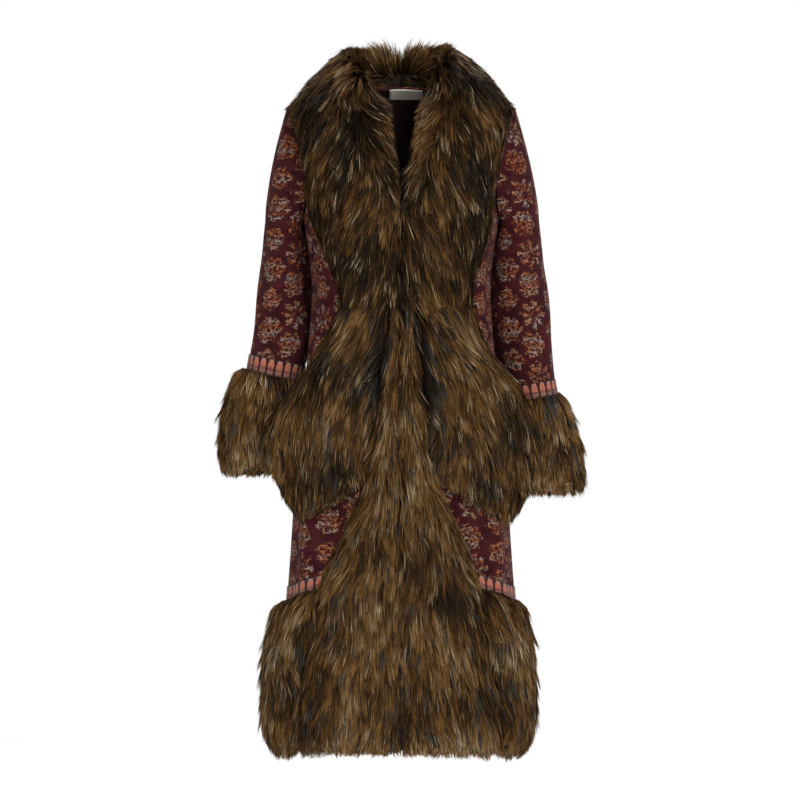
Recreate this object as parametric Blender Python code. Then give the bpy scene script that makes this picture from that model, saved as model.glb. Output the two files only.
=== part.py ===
"""A long coat of patterned knit with long fur at the collar, fronts, hips, cuffs and hem.

It keeps the hollow form it has when worn. Metres, Z up, the front faces -Y.
Left and right are the wearer's, so the wearer's right side is at -X.
The origin is the middle of the neck, level with the seam at the nape.
"""
import math

import bpy
import numpy as np

for old in list(bpy.data.objects):
    bpy.data.objects.remove(old, do_unlink=True)

# Driving sizes
MM = 0.001
CLOTH = 2.5 * MM
SEAM = 0.3 * MM
REST = 0.3 * MM
BORDER = 1.6 * MM
LINING = 1.0 * MM
LABEL = 0.6 * MM
LABEL_LEFT = -20 * MM
LABEL_RIGHT = 38 * MM
FUR_EDGE = 8 * MM
SQUARE = 2.35
SHOULDER_ROUND = 95 * MM
NECK_SIDE = 75 * MM
SHOULDER_TIP = 200 * MM
SIDES = (("right", -1), ("left", 1))


def curve(pairs):
    """A smooth function through (place, value) pairs in rising order, with no overshoot."""
    at = np.array([p[0] for p in pairs], float)
    val = np.array([p[1] for p in pairs], float)
    step = np.diff(at)
    rise = np.diff(val) / step
    slope = np.zeros(len(at))
    slope[0] = rise[0]
    slope[-1] = rise[-1]
    for k in range(1, len(at) - 1):
        if rise[k - 1] * rise[k] > 0:
            near = 2 * step[k] + step[k - 1]
            far = step[k] + 2 * step[k - 1]
            slope[k] = (near + far) / (near / rise[k - 1] + far / rise[k])

    def value(x):
        x = min(max(x, at[0]), at[-1])
        k = min(max(int(np.searchsorted(at, x)) - 1, 0), len(step) - 1)
        t = (x - at[k]) / step[k]
        return float(
            val[k] * (1 + 2 * t) * (1 - t) ** 2
            + slope[k] * step[k] * t * (1 - t) ** 2
            + val[k + 1] * t * t * (3 - 2 * t)
            + slope[k + 1] * step[k] * t * t * (t - 1)
        )

    return value


def columns(table, key, *values):
    """Curves of the named columns of a table over its key column, in metres."""
    names = table[0]
    rows = sorted(table[1:], key=lambda r: r[names.index(key)])
    at = names.index(key)
    return [curve([(r[at] * MM, r[names.index(v)] * MM) for r in rows]) for v in values]


# The body's cloth, as level sections in millimetres
SECTIONS = [
    ("z", "half_width", "front", "back"),
    (20, 211, 84, 84),
    (-38, 206, 100, 97),
    (-105, 190, 112, 105),
    (-175, 180, 122, 107),
    (-236, 170, 125, 103),
    (-300, 158, 117, 95),
    (-371, 153, 105, 90),
    (-440, 157, 105, 98),
    (-520, 167, 110, 110),
    (-600, 174, 116, 120),
    (-700, 184, 121, 126),
    (-800, 190, 126, 129),
    (-900, 197, 131, 132),
    (-1050, 203, 136, 136),
    (-1190, 207, 140, 140),
]
half_width, front_depth, back_depth = columns(SECTIONS, "z", "half_width", "front", "back")

# The line of the shoulder seam, from the neck out
SHOULDER = [("x", "z"), (0, 17), (40, 10), (75, -2), (120, -13), (160, -24), (200, -38), (230, -52)]
(shoulder_line,) = columns(SHOULDER, "x", "z")

# Soft upright folds in the skirt, the angle being 0 at the front and 90 at the side
FOLDS = [
    ("angle", "half_angle", "height", "starts", "full"),
    (-158, 11, 7, -430, -900),
    (-128, 10, -6, -460, -950),
    (126, 11, 7, -440, -900),
    (154, 10, -6, -430, -980),
    (-48, 9, 4, -740, -1000),
    (52, 9, -4, -740, -1000),
]


def fold_height(angle, z):
    """How far the cloth stands out from its section there, in metres."""
    total = 0.0
    for centre, spread, height, starts, full in FOLDS[1:]:
        grown = min(max((z / MM - starts) / (full - starts), 0.0), 1.0)
        grown = grown * grown * (3 - 2 * grown)
        total += height * MM * grown * math.exp(-(((angle - centre) / spread) ** 2))
    return total


def inside(x, y, z):
    """Above nought inside the body's form, below it outside."""
    depth = front_depth(z) if y < 0 else back_depth(z)
    drop = min(shoulder_line(abs(x)) - z, SHOULDER_ROUND)
    rounding = 1 - (1 - drop / SHOULDER_ROUND) ** 2
    across = 1 - (abs(x) / half_width(z)) ** SQUARE
    across = math.copysign(abs(across) ** (2 / SQUARE), across)
    return rounding * across - (y / depth) ** 2


def normal_at(p):
    """The way straight out of the body's form."""
    e = 0.05 * MM
    out = []
    for axis in range(3):
        step = np.zeros(3)
        step[axis] = e
        out.append(inside(*(p - step)) - inside(*(p + step)))
    out = np.array(out)
    return out / np.linalg.norm(out)


def unit(v):
    v = np.asarray(v, float)
    return v / max(np.linalg.norm(v), 1e-12)


def angle_of(x, z):
    """The turn round the body, in radians, at which a level section has this half width."""
    part = min(abs(x) / half_width(z), 1.0)
    return math.asin(part ** (SQUARE / 2))


def body_point(angle, z, side, face):
    """A point of the cloth's inner side, face being -1 in front and 1 behind, and its normal."""
    x = half_width(z) * abs(math.sin(angle)) ** (2 / SQUARE)
    drop = shoulder_line(x) - z
    depth = front_depth(z) if face < 0 else back_depth(z)
    drop = min(max(drop, 0.0), SHOULDER_ROUND)
    rounding = math.sqrt(1 - (1 - drop / SHOULDER_ROUND) ** 2)
    y = face * depth * max(math.cos(angle), 0.0) ** (2 / SQUARE) * rounding
    p = np.array([side * x, y, z])
    n = normal_at(p)
    turn = math.degrees(angle) if face < 0 else 180 - math.degrees(angle)
    return p + n * fold_height(side * turn, z), n


def ridge_point(x, side):
    """A point of the shoulder seam and its normal."""
    p = np.array([side * x, 0.0, shoulder_line(x)])
    n = normal_at(p - np.array([0, 0, 0.01 * MM]))
    return p, unit([n[0], 0, n[2]])


# Rows of the fronts, from the shoulder seam down to the hem, as heights in millimetres
# at the front edge, at the edge of the front band, at the edge of the fur and at the side
ROWS = [
    ("row", "front", "band", "fur", "side", "back"),
    (0, 0, 0, 0, 0, 0),
    (1, -16, -20, -40, -46, -22),
    (2, -34, -38, -54, -57, -62),
    (3, -56, -60, -75, -80, -108),
    (4, -82, -86, -100, -105, -150),
    (5, -110, -114, -130, -135, -172),
    (6, -138, -142, -160, -165, -192),
    (7, -165, -168, -190, -195, -212),
    (8, -195, -198, -214, -218, -230),
    (9, -228, -230, -235, -236, -248),
    (10, -262, -262, -262, -262, -270),
    (11, -300, -300, -300, -300, -300),
    (12, -336, -336, -336, -336, -336),
    (13, -371, -371, -371, -371, -371),
    (14, -405, -408, -408, -410, -410),
    (15, -445, -448, -450, -450, -450),
    (16, -488, -490, -492, -492, -492),
    (17, -528, -530, -532, -532, -532),
    (18, -572, -574, -578, -578, -578),
    (19, -616, -618, -630, -630, -630),
    (20, -658, -658, -686, -690, -690),
    (21, -702, -700, -745, -755, -755),
    (22, -752, -750, -786, -796, -796),
    (23, -800, -800, -830, -838, -838),
    (24, -848, -848, -866, -873, -878),
    (25, -876, -874, -894, -902, -906),
    (26, -926, -924, -938, -945, -948),
    (27, -980, -980, -990, -994, -996),
    (28, -1036, -1036, -1042, -1045, -1046),
    (29, -1092, -1092, -1094, -1096, -1096),
    (30, -1140, -1140, -1140, -1140, -1140),
]
WAIST_ROW = 13
HIP_END_ROW = 21
BORDER_TOP_ROW = 24
BORDER_END_ROW = 25
UNDERARM_ROW = 9
HEM_ROW = 30
COLLAR_BACK_ROW = 4

# Columns of a front: the front band, the fur beside it, and the cloth up to the side
BAND_COLS = 4
FUR_COLS = 8
SIDE_COLS = 11

# The cloth's front edge above the centre front, and its armhole edge, for each row
NECK_EDGE = (75, 66, 54, 42, 32, 24, 14)
ARMHOLE_FRONT = (200, 197, 191, 181, 173.5, 168, 165.5, 165.5, 168)
ARMHOLE_BACK = (200, 197, 192, 184, 177.5, 172, 169, 168.5, 169.5)

# Edge of the front band, for each side, as distances from the centre front
BAND_EDGE = [
    ("z", "right", "left"),
    (0, 112, 112),
    (-38, 106, 106),
    (-100, 84, 84),
    (-200, 62, 62),
    (-300, 42, 42),
    (-371, 28, 28),
    (-495, 32, 32),
    (-581, 45, 44),
    (-651, 55, 57),
    (-700, 64, 66),
    (-735, 78, 88),
    (-770, 102, 103),
    (-814, 120, 120),
    (-850, 129, 131),
    (-882, 137, 137),
    (-931, 142, 138),
    (-1001, 161, 148),
    (-1062, 178, 161),
    (-1140, 184, 172),
]

# Edge of the collar and below it of the hip fur, where they are sewn down
FUR_LINE = [
    ("z", "right", "left"),
    (-30, 187, 187),
    (-60, 178, 178),
    (-105, 160, 161),
    (-194, 153, 153),
    (-264, 132, 141),
    (-313, 114, 124),
    (-371, 93, 111),
    (-400, 101, 113),
    (-443, 121, 127),
    (-497, 143, 149),
    (-532, 151, 155),
    (-600, 157, 159),
    (-660, 160, 161),
    (-745, 163, 164),
    (-790, 164, 165),
]

# How far the hip fur flares out past that edge
FLARE = [
    ("z", "right", "left"),
    (-371, 6, 6),
    (-408, 9, 8),
    (-450, 11, 10),
    (-492, 15, 26),
    (-532, 54, 58),
    (-578, 62, 66),
    (-630, 58, 66),
    (-686, 38, 52),
    (-745, 10, 20),
]

# Height of the fur of the collar over the cloth at the neck edge, for each row of the front
COLLAR_ROLL = (86, 82, 74, 64, 56, 51, 47, 44, 43, 42, 41, 38, 34, 30)

# Share of that height from the neck edge out, over the shoulder and on the chest
ROLL_SHAPE = [
    ("out", "shoulder", "chest"),
    (0, 1000, 760),
    (130, 985, 960),
    (260, 870, 1000),
    (590, 590, 980),
    (820, 340, 760),
    (1000, 110, 230),
]

# The sleeves below the shoulder, as rings square to the arm, with their middle and half sizes
SLEEVE_RIGHT = [
    ("z", "out", "y", "half_across", "half_deep"),
    (-300, 201.5, 22, 43, 60),
    (-338, 202, 27, 47, 57),
    (-373, 203, 30, 49.5, 55),
    (-412, 206.5, 32, 50.5, 54),
    (-451, 211.5, 34, 51, 53),
    (-476, 217, 35, 50.5, 52),
    (-506, 223, 36, 49.5, 51),
    (-550, 233, 37, 48, 50),
    (-595, 240, 38, 47, 49),
    (-640, 245, 39, 46, 48),
    (-668, 247, 40, 45, 47),
]
SLEEVE_LEFT = [
    ("z", "out", "y", "half_across", "half_deep"),
    (-300, 204, 22, 45.5, 60),
    (-346, 205.5, 28, 50.5, 57),
    (-388, 208, 31, 52, 55),
    (-432, 212, 33, 52, 54),
    (-480, 218, 35, 50, 53),
    (-518, 224, 36, 47.5, 52),
    (-547, 230, 37, 46.5, 51),
    (-590, 239, 38, 46.5, 50),
    (-634, 246, 39, 46, 49),
    (-678, 250, 41, 45.5, 48),
    (-706, 251, 42, 45, 47),
]
CUFF_TOP_RING = 5
CUFF_FUR_RING = 6
SLEEVE_END_RING = 9
RING_POINTS = 18
UPPER_RINGS = (0.0, 0.16, 0.33, 0.53, 0.76)

# Fur of the cuffs: thickness outside, in front and behind, and next to the hip, for each ring
CUFF_FUR = {
    "right": [(16, 12, 6), (35, 27, 9), (41, 31, 11), (38, 29, 11), (24, 18, 9)],
    "left": [(10, 12, 6), (24, 26, 9), (34, 30, 11), (34, 29, 11), (25, 18, 9)],
}

# Fur of the hem: thickness for each row, and on each side
HEM_FUR = (16, 33, 38, 39, 39, 33, 16)
HEM_SHARE = {"right": 1.08, "left": 0.86}

# How far the fur hangs below the cloth's hem, by the angle round the body
HEM_HANG = [
    ("angle", "hang"),
    (-180, 26),
    (-150, 34),
    (-120, 24),
    (-90, 22),
    (-70, 36),
    (-52, 32),
    (-38, 16),
    (-20, 18),
    (0, 18),
    (17, 14),
    (30, 40),
    (48, 46),
    (66, 34),
    (90, 20),
    (120, 30),
    (150, 22),
    (180, 26),
]


def material(name, colour, roughness):
    mat = bpy.data.materials.new(name)
    mat.use_nodes = True
    shader = mat.node_tree.nodes["Principled BSDF"]
    shader.inputs["Base Color"].default_value = (*colour, 1.0)
    shader.inputs["Roughness"].default_value = roughness
    shader.inputs["Metallic"].default_value = 0.0
    mat.diffuse_color = (*colour, 1.0)
    return mat


KNIT = ("knit_wine", (0.086, 0.020, 0.026), 0.9)
FUR = ("fur_brown", (0.075, 0.042, 0.018), 0.75)
TRIM = ("border_salmon", (0.26, 0.10, 0.075), 0.9)
SATIN = ("lining_wine", (0.022, 0.006, 0.010), 0.5)
WOVEN = ("label_offwhite", (0.55, 0.52, 0.46), 0.7)
MATERIALS = {}


def solid(name, look, outer, inner, faces, bulge=None, levels=1):
    """A closed wall between two sets of points that share their faces.

    The rim between them has more rows where levels asks for them, moved out by bulge.
    """
    outer = np.asarray(outer, float)
    inner = np.asarray(inner, float)
    count = len(outer)
    points = [outer, inner]
    edges = {}
    for face in faces:
        for a, b in zip(face, face[1:] + face[:1]):
            edges[(a, b)] = True
    rim = [e for e in edges if (e[1], e[0]) not in edges]
    rim_points = sorted({p for e in rim for p in e})
    place = {p: k for k, p in enumerate(rim_points)}
    rows = [{p: p for p in rim_points}]
    total = 2 * count
    for level in range(1, levels):
        part = level / levels
        extra = []
        for p in rim_points:
            q = outer[p] * (1 - part) + inner[p] * part
            if bulge is not None:
                q = q + bulge[p] * math.sin(math.pi * part)
            extra.append(q)
        points.append(np.array(extra))
        rows.append({p: total + place[p] for p in rim_points})
        total += len(rim_points)
    rows.append({p: count + p for p in rim_points})
    tris = []
    for face in faces:
        for k in range(1, len(face) - 1):
            tris.append((face[0], face[k], face[k + 1]))
            tris.append((face[0] + count, face[k + 1] + count, face[k] + count))
    for a, b in rim:
        for up, low in zip(rows, rows[1:]):
            tris.append((up[b], up[a], low[a]))
            tris.append((up[b], low[a], low[b]))
    verts = np.concatenate(points)
    corners = verts[np.array(tris)]
    if np.einsum("ij,ij->", corners[:, 0], np.cross(corners[:, 1], corners[:, 2])) < 0:
        tris = [t[::-1] for t in tris]
    used = sorted({v for t in tris for v in t})
    renumber = {v: k for k, v in enumerate(used)}
    mesh = bpy.data.meshes.new(name)
    mesh.from_pydata(
        [tuple(verts[v]) for v in used], [], [tuple(renumber[v] for v in t) for t in tris]
    )
    mesh.validate()
    mesh.update()
    ob = bpy.data.objects.new(name, mesh)
    bpy.context.scene.collection.objects.link(ob)
    if look[0] not in MATERIALS:
        MATERIALS[look[0]] = material(*look)
    mesh.materials.append(MATERIALS[look[0]])
    for poly in mesh.polygons:
        poly.use_smooth = True
    mesh.set_sharp_from_angle(angle=math.radians(50))
    return ob


def grid_faces(rows, cols, ring=False):
    """Four-cornered faces of a grid of points, numbered row by row."""
    faces = []
    for i in range(rows - 1):
        for j in range(cols if ring else cols - 1):
            k = (j + 1) % cols
            faces.append([i * cols + j, (i + 1) * cols + j, (i + 1) * cols + k, i * cols + k])
    return faces


def inset(points, sides):
    """Moves the named edges of a grid in by half a seam, square to the edge."""
    moved = points.copy()
    rows, cols = points.shape[:2]
    for edge in sides:
        for k in range(rows if edge in ("first", "last") else cols):
            if edge in ("first", "last"):
                i, j = k, 0 if edge == "first" else cols - 1
                near = points[i, 1 if edge == "first" else cols - 2]
                along = points[min(i + 1, rows - 1), j] - points[max(i - 1, 0), j]
            else:
                i, j = 0 if edge == "top" else rows - 1, k
                near = points[1 if edge == "top" else rows - 2, j]
                along = points[i, min(j + 1, cols - 1)] - points[i, max(j - 1, 0)]
            along = unit(along)
            way = near - points[i, j]
            way = unit(way - along * np.dot(way, along))
            moved[i, j] += way * SEAM / 2
    return moved


# The fronts: points of the cloth's inner side and their normals, for each side
TABLE = {r[0]: r[1:] for r in ROWS[1:]}
BAND_AT = dict(zip(("right", "left"), columns(BAND_EDGE, "z", "right", "left")))
FUR_AT = dict(zip(("right", "left"), columns(FUR_LINE, "z", "right", "left")))
FLARE_AT = dict(zip(("right", "left"), columns(FLARE, "z", "right", "left")))


def front_row(row, name):
    """Angles and heights along one row of a front, from its front edge to the side."""
    front, band, fur, side, _ = [v * MM for v in TABLE[row]]
    x_front = NECK_EDGE[row] * MM if row < len(NECK_EDGE) else 0.0
    x_band = BAND_AT[name](band)
    x_fur = FUR_AT[name](fur)
    marks = [angle_of(x_front, front), angle_of(x_band, band), angle_of(x_fur, fur)]
    if row < UNDERARM_ROW:
        x_side = ARMHOLE_FRONT[row] * MM
        marks.append(angle_of(x_side, side))
    else:
        marks.append(math.pi / 2)
    if row > HIP_END_ROW:
        marks[2] = max(marks[2], 0.5 * (marks[1] + marks[3]))
    heights = [front, band, fur, side]
    at = (0, BAND_COLS, FUR_COLS, SIDE_COLS)
    cols = np.arange(SIDE_COLS + 1)
    return np.interp(cols, at, marks), np.interp(cols, at, heights)


def front_grid(name, side):
    points = np.zeros((HEM_ROW + 1, SIDE_COLS + 1, 3))
    normals = np.zeros_like(points)
    turns = np.zeros(points.shape[:2])
    for j, x in enumerate(seam_xs(name)):
        points[0, j], normals[0, j] = ridge_point(x, side)
    for i in range(1, HEM_ROW + 1):
        angles, heights = front_row(i, name)
        for j in range(SIDE_COLS + 1):
            points[i, j], normals[i, j] = body_point(angles[j], heights[j], side, -1)
            turns[i, j] = side * math.degrees(angles[j])
    return points, normals, turns


def seam_xs(name):
    """Distances from the centre of a front's points along the shoulder seam."""
    marks = (NECK_SIDE, BAND_AT[name](0.0), FUR_AT[name](-30 * MM), SHOULDER_TIP)
    return np.interp(np.arange(SIDE_COLS + 1), (0, BAND_COLS, FUR_COLS, SIDE_COLS), marks)


# The back: columns from the centre out, every second one of a front's at the shoulder seam
BACK_NECK = 3
BACK_FUR = 7
BACK_SIDE = 9


def back_half(name, side):
    points = np.zeros((HEM_ROW + 1, BACK_SIDE + 1, 3))
    normals = np.zeros_like(points)
    turns = np.full(points.shape[:2], 180.0)
    seam = seam_xs(name)
    top = list(np.linspace(0, NECK_SIDE, BACK_NECK + 1))[:-1]
    top += [seam[2 * k] for k in range(BACK_FUR - BACK_NECK + 1)]
    top += [(seam[FUR_COLS] + seam[SIDE_COLS]) / 2, seam[SIDE_COLS]]
    for j, x in enumerate(top):
        if j < BACK_NECK:
            z = shoulder_line(x) - 14 * MM * (1 - (x / NECK_SIDE) ** 2)
            points[0, j], normals[0, j] = body_point(angle_of(x, z), z, side, 1)
        else:
            points[0, j], normals[0, j] = ridge_point(x, side)
    for i in range(1, HEM_ROW + 1):
        _, _, _, z_side, z_back = [v * MM for v in TABLE[i]]
        if i < UNDERARM_ROW:
            outer = angle_of(ARMHOLE_BACK[i] * MM, z_side)
        else:
            outer = math.pi / 2
        blend = min(i / UNDERARM_ROW, 1.0)
        for j in range(BACK_SIDE + 1):
            even = j / BACK_SIDE
            level = z_back + (z_side - z_back) * even**2
            x_top = top[j] / top[-1] * half_width(level) * math.sin(outer) ** (2 / SQUARE)
            angle = (1 - blend) * angle_of(x_top, level) + blend * outer * even
            if j == BACK_SIDE:
                angle = outer
            points[i, j], normals[i, j] = body_point(angle, level, side, 1)
            turns[i, j] = side * (180 - math.degrees(angle))
    return points, normals, turns


# The armholes: loops of cloth edge from the shoulder, down the front, and up the back
def armhole(front, back, side):
    points = [front[0][0, SIDE_COLS]]
    normals = [unit(front[1][0, SIDE_COLS] + back[1][0, BACK_SIDE])]
    for i in range(1, UNDERARM_ROW + 1):
        points.append(front[0][i, SIDE_COLS])
        normals.append(front[1][i, SIDE_COLS])
    for i in range(UNDERARM_ROW - 1, 0, -1):
        points.append(back[0][i, BACK_SIDE])
        normals.append(back[1][i, BACK_SIDE])
    points = np.array(points)
    normals = np.array(normals)
    middle = points.mean(axis=0)
    ways = []
    mitres = []
    away = []
    for k in range(RING_POINTS):
        turn = 2 * math.pi * k / RING_POINTS
        up = max(math.cos(turn), 0) ** 2
        low = max(-math.cos(turn), 0) ** 2
        flank = math.sin(turn) ** 2
        way = up * np.array([side * 0.27, 0, -0.96])
        way = way + flank * np.array([side * 0.78, -0.10 * math.copysign(1, math.sin(turn)), -0.6])
        way = unit(way + low * np.array([side * 0.98, 0, -0.2]))
        along = unit(points[(k + 1) % RING_POINTS] - points[k - 1])
        out = unit(np.cross(along, way))
        if np.dot(out, points[k] - middle) < 0:
            out = -out
        split = unit(normals[k] + out)
        mitre = split * CLOTH / max(np.dot(split, normals[k]), 0.6)
        apart = unit(np.cross(mitre, along))
        if np.dot(apart, way) < 0:
            apart = -apart
        ways.append(way)
        mitres.append(mitre)
        away.append(apart)
    return points, ways, mitres, away


def loop_index(row, behind):
    """The place in the armhole's loop of a row's edge, in front or behind."""
    if row == 0:
        return 0
    return RING_POINTS - row if behind and row < UNDERARM_ROW else row


def panel_walls(points, normals, edge, loop, behind, sides):
    """Inner and outer points of a body panel, its armhole edge cut to meet the sleeve."""
    inner = inset(points, sides)
    outer = inner + normals * CLOTH
    spots, _, mitres, away = loop
    for i in range(UNDERARM_ROW + 1):
        k = loop_index(i, behind)
        shift = -away[k] * SEAM / 2
        if i in (0, UNDERARM_ROW):
            shift = shift + np.array([0, (1 if behind else -1) * SEAM / 2, 0])
        inner[i, edge] = spots[k] + shift
        outer[i, edge] = spots[k] + mitres[k] + shift
    return inner, outer


def flat(grid):
    return grid.reshape(-1, 3)


BODY = {}
for name, side in SIDES:
    front = front_grid(name, side)
    back = back_half(name, side)
    loop = armhole(front, back, side)
    BODY[name] = (front, back, loop)
    inner, outer = panel_walls(
        front[0], front[1], SIDE_COLS, loop, False, ("first", "last", "top")
    )
    faces = grid_faces(HEM_ROW + 1, SIDE_COLS + 1)
    solid("front_" + name, KNIT, flat(outer), flat(inner), faces)

# The back is one piece, so its two halves are joined at the centre column
back_inner = []
back_outer = []
for name, side in SIDES:
    front, back, loop = BODY[name]
    inner, outer = panel_walls(back[0], back[1], BACK_SIDE, loop, True, ("last",))
    for j in range(BACK_NECK, BACK_SIDE + 1):
        inner[0, j, 1] += SEAM / 2 if j < BACK_SIDE else 0.0
        outer[0, j, 1] += SEAM / 2 if j < BACK_SIDE else 0.0
    back_inner.append(inner)
    back_outer.append(outer)


def whole_back(pair):
    """The wearer's right half mirrored in order, then the left, sharing the centre column."""
    return np.concatenate([pair[0][:, ::-1], pair[1][:, 1:]], axis=1)


BACK_COLS = 2 * BACK_SIDE
back_in = whole_back(back_inner)
back_out = whole_back(back_outer)
faces = grid_faces(HEM_ROW + 1, BACK_COLS + 1)
solid("back_panel", KNIT, flat(back_out), flat(back_in), faces)

# The lining of the upper back hangs just inside the panel, and the label lies on it
back_normals = whole_back([BODY[n][1][1] for n, _ in SIDES])
back_points = whole_back([BODY[n][1][0] for n, _ in SIDES])
LINING_ROWS = UNDERARM_ROW
LINING_TRIM = 3
part = (slice(0, LINING_ROWS + 1), slice(LINING_TRIM, BACK_COLS + 1 - LINING_TRIM))
lining = back_points[part].copy()
lining_n = back_normals[part]
lining_outer = lining - lining_n * REST
lining_inner = lining - lining_n * (REST + LINING)
faces = grid_faces(lining.shape[0], lining.shape[1])
solid("lining_back", SATIN, flat(lining_outer), flat(lining_inner), faces)


def on_lining(x, down):
    """A point of the lining's inner face by its distance across and its share of the top rows."""
    top = lining_inner[0]
    low = lining_inner[1]
    j = int(np.searchsorted(top[:, 0], x)) - 1
    t = (x - top[j, 0]) / (top[j + 1, 0] - top[j, 0])
    a = top[j] * (1 - t) + top[j + 1] * t
    b = low[j] * (1 - t) + low[j + 1] * t
    n = unit(lining_n[0, j] * (1 - t) + lining_n[0, j + 1] * t + lining_n[1, j])
    return a * (1 - down) + b * down, n


label_rows = []
for down in (0.02, 0.5, 0.97):
    row = [on_lining(x, down) for x in np.linspace(LABEL_LEFT, LABEL_RIGHT, 5)]
    label_rows.append(row)
label_out = np.array([[p - n * 0.5 * MM for p, n in row] for row in label_rows])
label_in = np.array([[p - n * (0.5 * MM + LABEL) for p, n in row] for row in label_rows])
solid("neck_label", WOVEN, flat(label_out), flat(label_in), grid_faces(3, 5))


# Fur: a thick coat of hair on the panels' points, moved out
def lock(a, b, seed):
    """An uneven share near one, for hair that lies in soft locks."""
    wave = math.sin(2.1 * a + 1.3 * b + seed) + math.sin(1.1 * a - 2.3 * b + 2.7 * seed)
    return 1 + 0.05 * wave


def eased(distance, reach):
    """Rises from nought at an edge to one at its reach, rounded."""
    part = min(max(distance / reach, 0.0), 1.0)
    return math.sqrt(1 - (1 - part) ** 2)


roll_shoulder, roll_chest = columns(ROLL_SHAPE, "out", "shoulder", "chest")
for name, side in SIDES:
    (fp, fn, _), (bp, bn, _), _ = BODY[name]
    base = []
    way = []
    height = []
    spill = []
    index = {}

    def add(key, p, n, direction, tall, over):
        index[key] = len(base)
        base.append(p + n * (CLOTH + REST))
        way.append(unit(direction))
        height.append(tall)
        spill.append(over)

    rows = WAIST_ROW + 1
    low = inset(fp[:rows, : FUR_COLS + 1], ("bottom",))
    for i in range(rows):
        walk = np.linalg.norm(np.diff(fp[i, : FUR_COLS + 1], axis=0), axis=1)
        walk = np.concatenate([[0], np.cumsum(walk)]) / walk.sum()
        for j in range(FUR_COLS + 1):
            p = low[i, j].copy()
            n = fn[i, j]
            q = walk[j] * 1000 * MM
            chest = min(i / 6, 1.0)
            shape = (1 - chest) * roll_shoulder(q) + chest * roll_chest(q)
            tall = COLLAR_ROLL[i] * MM * shape
            direction = n.copy()
            over = np.zeros(3)
            open_neck = i < len(NECK_EDGE)
            if open_neck:
                upright = (1 - chest) * (1 - walk[j])
                direction = n * (1 - 0.75 * upright) + np.array([0, 0, 0.75 * upright])
                lean = 0.22 * chest * max(1 - walk[j] / 0.25, 0)
                direction = direction + np.array([-side * lean, 0, 0])
            if j == 0 and open_neck:
                over = np.array([-side * min(9.0, 0.5 * NECK_EDGE[i]) * MM, 0, 0])
            elif j == 0:
                p[0] = side * SEAM / 2
                direction[0] = 0.0
                tall = max(tall, 24 * MM)
            if j == FUR_COLS:
                outward = unit(fp[i, j] - fp[i, j - 1])
                over = outward * 5 * MM
                tall = max(tall, FUR_EDGE)
            tall = tall * lock(i, j, side)
            add(("f", i, j), p, n, direction, tall, over)
    back_rows = COLLAR_BACK_ROW + 1
    for i in range(back_rows):
        for j in range(BACK_FUR + 1):
            if i == 0 and j >= BACK_NECK:
                index[("b", 0, j)] = index[("f", 0, 2 * (j - BACK_NECK))]
                continue
            p = bp[i, j].copy()
            n = bn[i, j]
            x = abs(bp[i, j, 0])
            beside = max(x - NECK_SIDE, 0) / (187 * MM - NECK_SIDE)
            q = min(math.hypot(beside, i / COLLAR_BACK_ROW), 1.0)
            full = 92 if j else 64
            full = full + (72 - full) * min(q * 2, 1.0)
            tall = full * MM * roll_shoulder(q * 1000 * MM)
            direction = n + np.array([0, 0, 0.6 * (1 - q)])
            over = np.zeros(3)
            if i == 0:
                over = np.array([-side * 9 * MM * x / NECK_SIDE, -9 * MM, 0])
            if i == COLLAR_BACK_ROW:
                over = np.array([0, 1 * MM, -5 * MM])
            if j == BACK_FUR:
                over = unit(bp[i, j] - bp[i, j - 1]) * 5 * MM
            tall = max(tall, FUR_EDGE) * (lock(i + 5, j, side) if j else 1.0)
            if j == 0:
                p[0] = side * SEAM / 2
                direction[0] = 0.0
                over[0] = 0.0
            add(("b", i, j), p, n, direction, tall, over)
    faces = []
    for i in range(rows - 1):
        for j in range(FUR_COLS):
            corners = [("f", i, j), ("f", i + 1, j), ("f", i + 1, j + 1), ("f", i, j + 1)]
            faces.append([index[c] for c in corners])
    for i in range(back_rows - 1):
        for j in range(BACK_FUR):
            corners = [("b", i, j), ("b", i, j + 1), ("b", i + 1, j + 1), ("b", i + 1, j)]
            if side < 0:
                corners = corners[1:] + corners[:1]
            if i == 0 and j >= BACK_NECK:
                between = ("f", 0, 2 * (j - BACK_NECK) + 1)
                corners = [("b", 1, j + 1), ("b", 1, j), ("b", 0, j), between, ("b", 0, j + 1)]
            faces.append([index[c] for c in corners])
    base = np.array(base)
    tops = base + np.array(way) * np.array(height)[:, None]
    solid("collar_" + name, FUR, tops, base, faces, bulge=np.array(spill), levels=2)

# The front bands: from the waist down the centre front, then spreading to the hem
(hem_hang,) = columns([HEM_HANG[0]] + [(a, h) for a, h in HEM_HANG[1:]], "angle", "hang")


def with_hang(points, normals, turns, reach=1.0):
    """The points of a panel with one more row below its hem, for hair that hangs past it."""
    extra = points[-1].copy()
    for j in range(points.shape[1]):
        extra[j] += unit(points[-1, j] - points[-2, j]) * hem_hang(turns[-1, j] * MM) * 0.6
    return (
        np.concatenate([points, extra[None]]),
        np.concatenate([normals, normals[-1:]]),
    )


def fur_pad(name, points, normals, thick, seams, spill=None):
    """A fur piece on a grid of cloth points, with its thickness given for each of them."""
    low = inset(points, seams)
    base = low + normals * (CLOTH + REST)
    tops = base + normals * thick[..., None]
    if spill is None:
        spill = np.zeros_like(points)
    faces = grid_faces(points.shape[0], points.shape[1])
    return solid(name, FUR, flat(tops), flat(base), faces, bulge=flat(spill), levels=2)


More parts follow.
